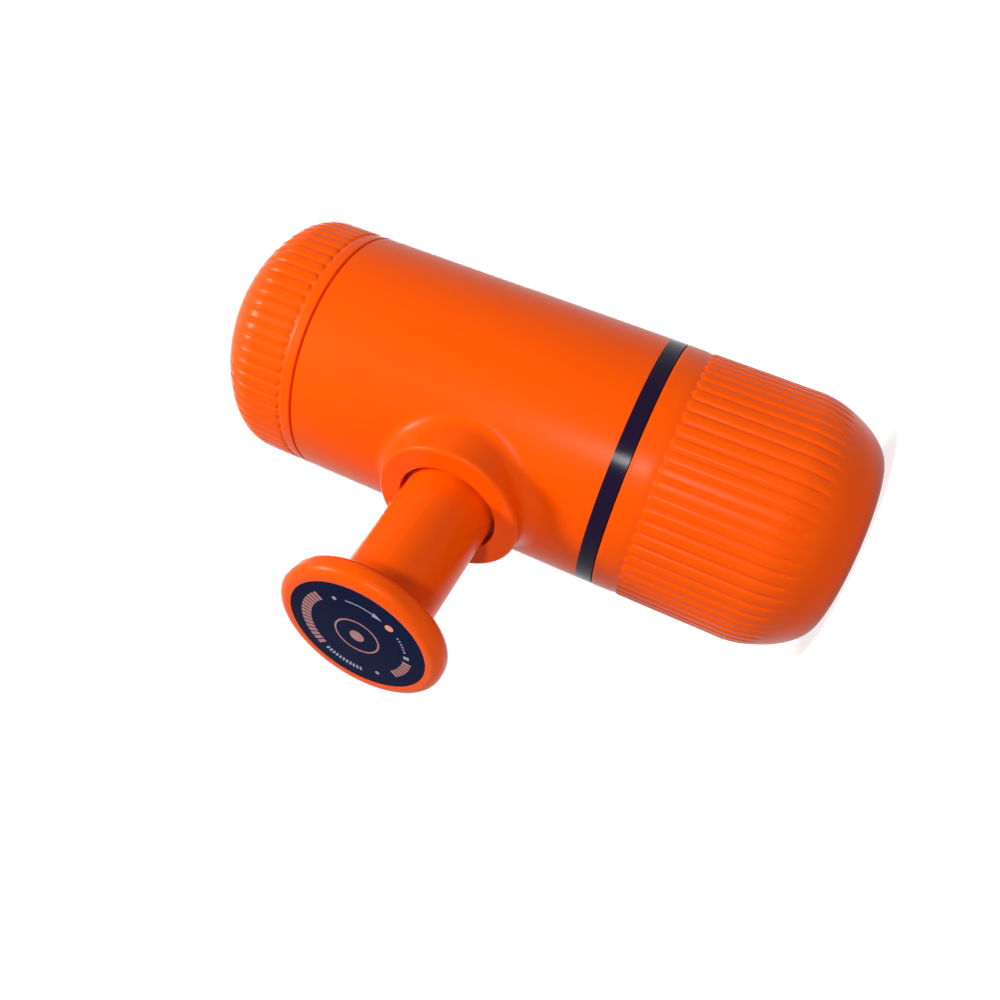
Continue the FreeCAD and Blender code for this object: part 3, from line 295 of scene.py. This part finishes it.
# ---------------------------------------------------------------- ribbed cup and tank
# Both end caps carry sixty grip ribs between a smooth strip at the mouth and the soft closed end.  Each
# rib has a broad rounded crest and starts in a rounded nose.  The narrow grooves between them rise to
# the strip at their ends.
RIBS = 60
RIB_SAMPLES = 16          # points across one rib
EDGE_POINTS = 5           # round a small edge
CORNER_POINTS = 60        # along a soft corner outside
CAVITY_POINTS = 14        # and inside, where nothing is ribbed
FINE_STEP = 0.00015       # between an outline's points where the ribs start
STRIP_STEP = 0.0008       # on the smooth strip
COARSE_STEP = 0.002       # along the ribs
FINE_PAST = 0.001         # how far the fine points go on over the strip
FINE_INTO = 0.003         # and into the ribs
CREST_RISE = 0.00008      # crests above the smooth strip
CREST_BREADTH = 3.6       # how broad the crest is against the groove
CUP_GROOVE_DROP = 0.00042     # groove beds below the smooth strip
TANK_GROOVE_DROP = 0.00038
CUP_GROOVE_END = 0.0036   # length over which a groove's bed rises to the smooth strip
TANK_GROOVE_END = 0.0013
barrel_r = cad_high.x     # the crests touch the cylinder that the barrel lies in


def smooth_step(t):
    """Soft ramp from 0 to 1."""
    t = np.clip(t, 0, 1)
    return t * t * (3 - 2 * t)


def superellipse(flat_r, wall_r, flat_z, wall_z, power, count):
    """Points (radius, height) from the flat end to the straight wall of a soft corner."""
    turn = np.linspace(0, 1, count) * math.pi / 2
    run = np.sin(turn) ** (2 / power)
    rise = np.cos(turn) ** (2 / power)
    return np.column_stack((flat_r + (wall_r - flat_r) * run, wall_z + (flat_z - wall_z) * rise))


def distances(outline):
    """Distance of each point along an outline."""
    return np.concatenate(([0], np.cumsum(np.linalg.norm(np.diff(outline, axis=0), axis=1))))


def distance_at(outline, height, side):
    """Distance along an outline where its outer or inner side passes a height."""
    return float(np.interp(height, outline[side, 1], distances(outline)[side]))


def rib_relief(outline, low_end, high_end, strength, drop, groove_end):
    """Heights above the base outline, one row per outline point, for one rib's samples.
    low_end and high_end are distances along the outline where the ribs' noses end."""
    along = distances(outline)
    past = np.maximum(low_end - along, along - high_end)
    nose_run = math.pi * barrel_r / RIBS
    nose = np.clip(1 + past / nose_run, 0, 1)
    across = np.abs(np.arange(RIB_SAMPLES) / RIB_SAMPLES * 2 - 1)
    reach = np.minimum(np.hypot(across[None, :], nose[:, None]), 1)
    crest = 1 - reach ** CREST_BREADTH
    bed = 1 - smooth_step((past + groove_end * 0.5) / groove_end)
    rise = (CREST_RISE + drop) * crest * np.sqrt(bed)[:, None]
    return strength[:, None] * (rise - drop * bed[:, None])


def turned_shell(name, outline, relief, first_groove):
    """Closed mesh turned about Z.  outline holds (radius, height) from pole to pole, and relief lifts
    each point of it along its normal, sample by sample across one rib."""
    columns = RIBS * RIB_SAMPLES
    angle = np.arange(columns) * 2 * math.pi / columns + math.radians(first_groove)
    run = np.gradient(outline, axis=0)
    normal = np.column_stack((run[:, 1], -run[:, 0]))
    normal /= np.maximum(np.linalg.norm(normal, axis=1, keepdims=True), 1e-12)
    lift = np.tile(relief, (1, RIBS))[1:-1]
    radius = outline[1:-1, :1] + normal[1:-1, :1] * lift
    height = outline[1:-1, 1:] + normal[1:-1, 1:] * lift
    rings = np.stack((radius * np.cos(angle), radius * np.sin(angle), height), axis=2)
    first_pole, last_pole = (0, 0, outline[0][1]), (0, 0, outline[-1][1])
    verts = np.vstack((first_pole, rings.reshape(-1, 3), last_pole))
    j = np.arange(columns)
    k = (j + 1) % columns
    faces = [(0, 1 + n, 1 + m) for m, n in zip(j, k)]
    for i in range(len(rings) - 1):
        a = 1 + i * columns
        b = a + columns
        faces += np.column_stack((a + j, a + k, b + k, b + j)).tolist()
    top = 1 + (len(rings) - 1) * columns
    faces += [(len(verts) - 1, top + m, top + n) for m, n in zip(j, k)]
    return add_mesh(name, verts.tolist(), faces, orange, smooth=True)


def straight(start, end, step):
    """Points (radius, height) along a line, without its last point."""
    start, end = np.array(start), np.array(end)
    count = max(1, round(float(np.linalg.norm(end - start)) / step))
    return start + (end - start) * np.linspace(0, 1, count, endpoint=False)[:, None]


def rounded_edge(centre, radius, first_turn, last_turn):
    """Points round a small edge, in degrees from the outward direction."""
    turn = np.radians(np.linspace(first_turn, last_turn, EDGE_POINTS))
    return np.column_stack((centre[0] + radius * np.cos(turn), centre[1] + radius * np.sin(turn)))


# Cup: from the middle of its base out over the corner, up the wall, over the rim and down inside
CUP_CORNER_RUN = 0.0103
CUP_CORNER_RISE = 0.0177
CUP_CORNER_POWER = 1.66
CUP_WALL = 0.0024
CUP_MOUTH_WALL = 0.0025
CUP_EDGE = 0.0004         # radius of the mouth's edges
CUP_RIB_LOW = 0.0092      # heights between which the ribs run
CUP_RIB_TOP = 0.0433
CUP_FADE = 0.0040         # length over which the ribs die out towards the foot
cup_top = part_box("espresso_cup")[1].z
foot_r = barrel_r - CUP_CORNER_RUN
strip_r = barrel_r - CREST_RISE
cup_in = barrel_r - CUP_MOUTH_WALL
corner = superellipse(foot_r, strip_r, 0, CUP_CORNER_RISE, CUP_CORNER_POWER, CORNER_POINTS)
wall_up = np.vstack((
    straight((strip_r, CUP_CORNER_RISE), (strip_r, CUP_RIB_TOP - FINE_INTO), COARSE_STEP)[1:],
    straight((strip_r, CUP_RIB_TOP - FINE_INTO), (strip_r, CUP_RIB_TOP + FINE_PAST), FINE_STEP),
    straight((strip_r, CUP_RIB_TOP + FINE_PAST), (barrel_r, cup_top - CUP_EDGE), STRIP_STEP)))
inside = superellipse(foot_r - CUP_WALL / 2, cup_in, CUP_WALL, CUP_CORNER_RISE, CUP_CORNER_POWER,
                      CAVITY_POINTS)[::-1]
cup_outline = np.vstack((
    [[0, 0]],
    corner,
    wall_up,
    rounded_edge((barrel_r - CUP_EDGE, cup_top - CUP_EDGE), CUP_EDGE, 0, 90),
    rounded_edge((cup_in + CUP_EDGE, cup_top - CUP_EDGE), CUP_EDGE, 90, 180),
    inside,
    [[0, CUP_WALL]]))
outer = slice(0, 1 + len(corner) + len(wall_up))
rib_start = distance_at(cup_outline, CUP_RIB_LOW, outer)
rib_end = distance_at(cup_outline, CUP_RIB_TOP, outer)
fade = smooth_step((distances(cup_outline) - rib_start) / CUP_FADE)
cup_relief = rib_relief(cup_outline, rib_start, rib_end, fade, CUP_GROOVE_DROP, CUP_GROOVE_END)
ribbed_cup = turned_shell("ribbed_cup", cup_outline, cup_relief, 0)
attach(ribbed_cup, "cup")
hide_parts("espresso_cup")

# Tank: from the middle of the dome's inside down to the neck's end, up the neck, out under the
# shoulder, up the ribbed wall and over the dome
TANK_WALL = 0.0022
TANK_SHOULDER = 0.00215
TANK_NECK_WALL = 0.0017
TANK_DOME_RISE = 0.0162
TANK_DOME_POWER = 1.96
TANK_RIB_GAP = 0.00275    # height of the smooth strip
TANK_NECK_R = 0.0244
TANK_TURN = -0.8          # degrees; where the thread brings the tank's ribs to rest
RIB_FADE_START = 0.990    # shares of the barrel's radius between which the ribs die out over the dome
RIB_FADE_END = 0.90
SEAM_GAP = 0.00065        # open seam between shell and tank
TANK_EDGE = 0.0002        # radius of the edge at the seam
tank_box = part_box("water_tank")
neck_low, crown = tank_box[0].z, tank_box[1].z
tank_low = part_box("body_shell")[1].z + SEAM_GAP
dome_low = crown - TANK_DOME_RISE
rib_low = tank_low + TANK_RIB_GAP
neck_in = TANK_NECK_R - TANK_NECK_WALL
dome = superellipse(0, strip_r, crown, dome_low, TANK_DOME_POWER, CORNER_POINTS)[::-1]
cavity = superellipse(0, barrel_r - TANK_WALL, crown - TANK_WALL, dome_low, TANK_DOME_POWER, CAVITY_POINTS)
wall = np.vstack((
    straight((barrel_r, tank_low + TANK_EDGE), (strip_r, rib_low - FINE_PAST), STRIP_STEP),
    straight((strip_r, rib_low - FINE_PAST), (strip_r, rib_low + FINE_INTO), FINE_STEP),
    straight((strip_r, rib_low + FINE_INTO), (strip_r, dome_low), COARSE_STEP)))
tank_outline = np.vstack((
    cavity,
    [[barrel_r - TANK_WALL, tank_low + 2 * TANK_SHOULDER],
     [neck_in, tank_low + TANK_SHOULDER],
     [neck_in, neck_low],
     [TANK_NECK_R, neck_low],
     [TANK_NECK_R, tank_low]],
    rounded_edge((barrel_r - TANK_EDGE, tank_low + TANK_EDGE), TANK_EDGE, -90, 0)[:-1],
    wall,
    dome))
first_wall = len(tank_outline) - len(dome) - len(wall)
outer = slice(first_wall, len(tank_outline))
fade = smooth_step((tank_outline[:, 0] / barrel_r - RIB_FADE_END) / (RIB_FADE_START - RIB_FADE_END))
tank_relief = rib_relief(tank_outline, distance_at(tank_outline, rib_low, outer), 1.0, fade,
                         TANK_GROOVE_DROP, TANK_GROOVE_END)
tank_relief[:first_wall] = 0
ribbed_tank = turned_shell("ribbed_tank", tank_outline, tank_relief, TANK_TURN)
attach(ribbed_tank, "tank")
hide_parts("water_tank")

# Screw rib round the tank's neck, with both ends run out into the wall
THREAD_TURNS = 1.5
THREAD_PITCH = 0.004
THREAD_MIDDLE = 0.11588   # height of the rib's middle
THREAD_ROOT = 0.0003      # how deep the rib is rooted in the neck
THREAD_HEIGHT = 0.00085
THREAD_BASE = 0.0013      # widths of the rib at the wall and at its crest
THREAD_CREST = 0.0008
THREAD_STEPS = 144
THREAD_RUN_OUT = 0.05     # share of the rib's length that rises from the wall

share = np.linspace(0, 1, THREAD_STEPS + 1)
winding = share * THREAD_TURNS * 2 * math.pi
middle_z = THREAD_MIDDLE + (share - 0.5) * THREAD_TURNS * THREAD_PITCH
crest_height = THREAD_HEIGHT * smooth_step(np.minimum(share, 1 - share) / THREAD_RUN_OUT)
rib_rows = []
for height, side in ((-THREAD_ROOT, -THREAD_BASE), (crest_height, -THREAD_CREST),
                     (crest_height, THREAD_CREST), (-THREAD_ROOT, THREAD_BASE)):
    radius = TANK_NECK_R + height
    row = radius * np.cos(winding), radius * np.sin(winding), middle_z + side / 2
    rib_rows.append(np.column_stack(row))
verts = np.stack(rib_rows, axis=1).reshape(-1, 3)
last = 4 * THREAD_STEPS
faces = [(3, 2, 1, 0), (last, last + 1, last + 2, last + 3)]
for i in range(THREAD_STEPS):
    for j in range(4):
        a, b = 4 * i + j, 4 * i + (j + 1) % 4
        faces.append((a, b, b + 4, a + 4))
tank_thread = add_mesh("tank_thread", verts.tolist(), faces, orange)
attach(tank_thread, "tank")


# ---------------------------------------------------------------- dark mouldings
# The collar between shell and cup is moulded in a glossy blue-black plastic.  The outlet head, the
# nozzle and the tank socket behind it share a duller charcoal.
COLLAR_BLACK = (0.008, 0.002, 0.030, 1)
COLLAR_DEEP = (0.010, 0.001, 0.012, 1)
CHARCOAL = (0.035, 0.035, 0.038, 1)
CHARCOAL_DEEP = (0.022, 0.022, 0.024, 1)

collar, collar_shader = surface("glossy_collar", COLLAR_BLACK, COLLAR_DEEP, skin_group, 0.05,
                                Drift_Scale=40, Grain_Scale=1800, Roughness=0.18, Polish=0.12)
collar_shader.inputs["Specular IOR Level"].default_value = 0.1
wear(collar, "brew_collar")
charcoal, _ = surface("charcoal_plastic", CHARCOAL, CHARCOAL_DEEP, skin_group, 0.25,
                      Drift_Scale=60, Grain_Scale=2200, Roughness=0.5, Polish=0.1)
wear(charcoal, "outlet_head", "spout_nozzle", "tank_socket")


# ---------------------------------------------------------------- piston bush and wiper, in painted shade
# A bush guides the piston in the boss, and a ring wipes it.  Both are coloured a dark red that is
# painted shade: it stands in for the red shade inside the gap round the piston.
BUSH_SHADE_RED = (0.55, 0.035, 0.002, 1)
BUSH_SHADE_DEEP = (0.42, 0.022, 0.001, 1)
WIPER_SHADE_RED = (0.36, 0.012, 0.002, 1)
WIPER_SHADE_DEEP = (0.26, 0.008, 0.002, 1)
# Painted shade: these dark reds make the gap round the piston read as shaded instead of black.
bush, _ = surface("bush_painted_gap_shade", BUSH_SHADE_RED, BUSH_SHADE_DEEP, skin_group, 0.2,
                  Drift_Scale=80, Grain_Scale=3000, Roughness=0.5, Polish=0.05)
wear(bush, "guide_bush")
wiper, _ = surface("wiper_painted_gap_shade", WIPER_SHADE_RED, WIPER_SHADE_DEEP, skin_group, 0.3,
                   Drift_Scale=120, Grain_Scale=1500, Roughness=0.6, Polish=0.15)
wear(wiper, "wiper_ring")


# ---------------------------------------------------------------- grey inner mouldings
# Frame, valve block and tubes are glass-filled nylon in a plain light grey.
NYLON = (0.36, 0.37, 0.37, 1)
NYLON_DEEP = (0.27, 0.28, 0.28, 1)
nylon, _ = surface("grey_nylon", NYLON, NYLON_DEEP, skin_group, 0.3,
                   Drift_Scale=90, Grain_Scale=1900, Roughness=0.5, Polish=0.1)
wear(nylon, "core_frame", "pump_block", "inlet_tube", "outlet_tube")


# ---------------------------------------------------------------- rubber and silicone
# Rings and seals are moulded black rubber with a dusty bloom; gasket, valve seats and poppet are
# milky food-grade silicone.
RUBBER = (0.025, 0.025, 0.026, 1)
RUBBER_BLOOM = (0.055, 0.055, 0.058, 1)
SILICONE = (0.62, 0.60, 0.55, 1)
SILICONE_DEEP = (0.50, 0.47, 0.42, 1)
rubber, _ = surface("black_rubber", RUBBER_BLOOM, RUBBER, skin_group, 0.3,
                    Drift_Scale=120, Grain_Scale=1500, Roughness=0.7, Polish=0.2)
wear(rubber, "cup_seal_ring", "plunger_seal", "cylinder_ring")
silicone, silicone_shader = surface("milky_silicone", SILICONE, SILICONE_DEEP, skin_group, 0.15,
                                    Drift_Scale=100, Grain_Scale=1600, Roughness=0.45, Polish=0.1)
silicone_shader.inputs["Subsurface Weight"].default_value = 0.2
silicone_shader.inputs["Subsurface Scale"].default_value = 0.001
wear(silicone, "brew_gasket", "tank_gasket", "crema_poppet", "inlet_seat", "outlet_seat")


# ---------------------------------------------------------------- steel parts
# Turned and drawn stainless steel: fine tool marks run across the pieces, with faint smears.
STEEL = (0.62, 0.62, 0.63, 1)
STEEL_DEEP = (0.48, 0.48, 0.50, 1)
MARK_STRETCH = (0.06, 1, 1)   # draws the marks out along X


def make_steel_group():
    """Metal: fine tool marks drawn out to lines, over slow smears."""
    inputs = [("Mark Scale", 3000), ("Smear Scale", 90), ("Roughness", 0.25), ("Smear", 0.2)]
    group, given, result = new_group("turned_steel", inputs, ["Tone", "Roughness", "Height"])
    place = group.nodes.new("ShaderNodeTexCoord").outputs["Object"]
    stretch = group.nodes.new("ShaderNodeVectorMath")
    stretch.operation = "MULTIPLY"
    stretch.inputs[1].default_value = MARK_STRETCH
    group.links.new(place, stretch.inputs[0])
    marks = noise(group, stretch.outputs["Vector"], given.outputs["Mark Scale"], 3)
    smear = noise(group, place, given.outputs["Smear Scale"], 4)
    worn = calc(group, "MULTIPLY", calc(group, "SUBTRACT", smear, 0.5), given.outputs["Smear"])
    group.links.new(calc(group, "ADD", given.outputs["Roughness"], worn), result.inputs["Roughness"])
    group.links.new(smear, result.inputs["Tone"])
    group.links.new(marks, result.inputs["Height"])
    return group


steel_group = make_steel_group()
steel, steel_shader = surface("stainless_steel", STEEL, STEEL_DEEP, steel_group, 0.1,
                              Mark_Scale=3000, Smear_Scale=90, Roughness=0.25, Smear=0.2)
steel_shader.inputs["Metallic"].default_value = 1
wear(steel, "shower_screen", "screen_screw", "filter_basket", "plunger_rod", "rod_screw", "spring_seat",
     "lock_ring", "pump_cylinder", "inlet_ball", "outlet_ball", "inlet_strainer", "foot_screws",
     "socket_screws", "frame_screws")
wire, wire_shader = surface("spring_wire", STEEL_DEEP, STEEL, steel_group, 0.15,
                            Mark_Scale=5000, Smear_Scale=200, Roughness=0.32, Smear=0.15)
wire_shader.inputs["Metallic"].default_value = 1
wear(wire, "return_spring", "crema_spring", "inlet_spring", "outlet_spring")


# ---------------------------------------------------------------- springs
# Wire springs with closed ends: the pump's long return spring and three small ones under the valves.
SPRING_SIDES = 10
SPRING_STEPS = 28         # rings of points in one turn
CLOSED_TURNS = 0.8        # turns at each end that lie flat
CLOSED_PITCH = 1.05       # of those turns, in wire diameters


def coil_spring(node, body, axis, fixed_low, wire_r, turns):
    """Spring that stands for a CAD node.  axis is 1 for Y or 2 for Z; fixed_low picks the end for an
    anchor point that is not used.
    """
    low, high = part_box(node)
    middle = (low + high) / 2
    first, second = [i for i in range(3) if i != axis]
    mean_r = (high[first] - low[first]) / 2 - wire_r
    start, end = low[axis] + wire_r, high[axis] - wire_r
    closed = CLOSED_TURNS * CLOSED_PITCH * 2 * wire_r
    turn = np.linspace(0, turns, round(turns * SPRING_STEPS) + 1)
    along = np.interp(turn, (0, CLOSED_TURNS, turns - CLOSED_TURNS, turns),
                      (start, start + closed, end - closed, end))
    side = np.arange(SPRING_SIDES) * 2 * math.pi / SPRING_SIDES
    verts = np.zeros((len(turn), SPRING_SIDES, 3))
    radius = mean_r + wire_r * np.cos(side)
    verts[:, :, first] = middle[first] + np.cos(2 * math.pi * turn)[:, None] * radius
    verts[:, :, second] = middle[second] + np.sin(2 * math.pi * turn)[:, None] * radius
    verts[:, :, axis] = along[:, None] + wire_r * np.sin(side)
    last = len(turn) * SPRING_SIDES - 1
    faces = [list(range(SPRING_SIDES)), list(range(last, last - SPRING_SIDES, -1))]
    for i in range(len(turn) - 1):
        a = i * SPRING_SIDES
        for j in range(SPRING_SIDES):
            k = (j + 1) % SPRING_SIDES
            faces.append((a + j, a + j + SPRING_SIDES, a + k + SPRING_SIDES, a + k))
    made = add_mesh(node + "_wire", verts.reshape(-1, 3).tolist(), faces, wire, smooth=True)
    anchor = middle.copy()
    anchor[axis] = low[axis] if fixed_low else high[axis]
    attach(made, body)
    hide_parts(node)
    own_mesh(made)


coil_spring("return_spring", "barrel", axis=1, fixed_low=False,
            wire_r=0.00055, turns=15)
coil_spring("crema_spring", "outlet", axis=2, fixed_low=True,
            wire_r=0.00022, turns=4)
for valve in ("inlet", "outlet"):
    coil_spring(valve + "_spring", "barrel", axis=2, fixed_low=True,
                wire_r=0.00024, turns=3.5)


# ---------------------------------------------------------------- printed disc in the knob
# A glossy blue-black disc is let into the knob's face.  Its plain print is a ring with a dot in the
# middle, and round the edge an arrow to the dot of the locked position, dots and rows of ticks.
LABEL_BLUE = (0.001, 0.010, 0.048, 1)
LABEL_DEEP = (0.002, 0.001, 0.026, 1)
label, label_shader = surface("printed_disc", LABEL_BLUE, LABEL_DEEP, skin_group, 0.04,
                              Drift_Scale=45, Grain_Scale=1500, Roughness=0.2, Polish=0.1)
label_shader.inputs["Specular IOR Level"].default_value = 0.015
wear(label, "label_disc")

PRINT_THICK = 0.00006
PRINT_PROUD = 0.00002     # how far the ink stands out of the disc
MARK_STEP = 4             # degrees between the points of an arc
DOT_TURN = 345            # degrees of a dot's edge before its last side closes it
label_low, label_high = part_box("label_disc")
label_x = (label_low.x + label_high.x) / 2
label_z = (label_low.z + label_high.z) / 2


def arc(radius, start, end):
    """Points (x, z) from the disc's centre along an arc, in degrees."""
    count = max(2, round(abs(end - start) / MARK_STEP) + 1)
    turn = np.radians(np.linspace(start, end, count))
    return np.column_stack((radius * np.cos(turn), radius * np.sin(turn)))


def spot(away, angle):
    """One point at a distance and an angle from the disc's centre."""
    return arc(away, angle, angle)[0]


def tick(low_r, high_r, start, end):
    """Outline of a short stroke between two radii and two angles."""
    return [np.vstack((arc(low_r, start, end), arc(high_r, end, start)))]


def ticks(low_r, high_r, start, end, count, share):
    """Row of equal strokes; share is how much of the row they fill."""
    pitch = (end - start) / count
    row = []
    for i in range(count):
        row += tick(low_r, high_r, start + i * pitch, start + (i + share) * pitch)
    return row


def dot(radius, away, angle):
    """Outline of a dot at a distance and an angle from the disc's centre."""
    return [spot(away, angle) + arc(radius, 0, DOT_TURN)]


def arrow_head(away, angle, length, half_width):
    """Triangle on a circle of marks that points on round it, clockwise."""
    root, tip = spot(away, angle), spot(away, angle - math.degrees(length / away))
    side = root / away * half_width
    return [np.array([root - side, root + side, tip])]


def print_marks(name, outlines, material):
    """One thin closed prism for each outline, let into the disc's face."""
    verts, faces = [], []
    front = label_low.y - PRINT_PROUD
    for outline in outlines:
        first, count = len(verts), len(outline)
        for depth in (front, front + PRINT_THICK):
            verts += [(label_x + x, depth, label_z + z) for x, z in outline]
        ring = list(range(first, first + count))
        faces += [ring, [v + count for v in reversed(ring)]]
        faces += [[ring[i - 1], ring[i - 1] + count, v + count, v] for i, v in enumerate(ring)]
    made = add_mesh(name, verts, faces, material)
    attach(made, "piston")


def ink(name, colour, worn):
    """Matt printed ink, a little thin in places."""
    made, _ = surface(name, colour, worn, skin_group, 0.02, Drift_Scale=900, Grain_Scale=3000,
                      Roughness=0.5, Polish=0.1)
    return made


ROSE = (0.50, 0.22, 0.20, 1)
ROSE_WORN = (0.30, 0.11, 0.12, 1)
PALE = (0.42, 0.40, 0.55, 1)
PALE_WORN = (0.24, 0.22, 0.34, 1)
LOCK = (0.95, 0.36, 0.20, 1)
LOCK_WORN = (0.80, 0.25, 0.12, 1)

# Rows of strokes: inner and outer radius, first and last angle, number, share of the row that is ink
ROSE_ROWS = ((0.0103, 0.0125, 45, 137, 16, 0.72), (0.0102, 0.0121, -133, -96, 7, 0.72))
PALE_ROWS = ((0.0109, 0.0121, 142, 186, 11, 0.6), (0.0104, 0.0109, -80, -54, 6, 0.45))
PALE_BLOCK = (0.0103, 0.0115, -91, -86)       # one broad stroke
RING = (0.0046, 0.0050)
RING_DOT_R = 0.0016
MARK_R = 0.0106           # circle that the arrow and most of the dots lie on
ARROW_FROM = 12           # degrees between which its line runs, with the head at the second
ARROW_TO = -20
ARROW_HALF = 0.00015      # half the width of its line
HEAD_LENGTH = 0.0022
HEAD_HALF = 0.0007
LOCK_DOT = (0.0009, MARK_R, -42)              # radius, distance from the middle, angle
PALE_DOTS = ((0.0005, MARK_R, 26), (0.0005, 0.0111, -156))

rose_marks = sum((ticks(*row) for row in ROSE_ROWS), [])
rose_marks += tick(*RING, 0, 180) + tick(*RING, 180, 360) + dot(RING_DOT_R, 0, 0)
print_marks("disc_ticks", rose_marks, ink("rose_ink", ROSE, ROSE_WORN))
pale_marks = sum((ticks(*row) for row in PALE_ROWS), []) + tick(*PALE_BLOCK)
pale_marks += tick(MARK_R - ARROW_HALF, MARK_R + ARROW_HALF, ARROW_TO, ARROW_FROM)
pale_marks += arrow_head(MARK_R, ARROW_TO, HEAD_LENGTH, HEAD_HALF)
pale_marks += sum((dot(*place) for place in PALE_DOTS), [])
print_marks("disc_arrow", pale_marks, ink("pale_ink", PALE, PALE_WORN))
print_marks("disc_lock_dot", dot(*LOCK_DOT), ink("lock_ink", LOCK, LOCK_WORN))
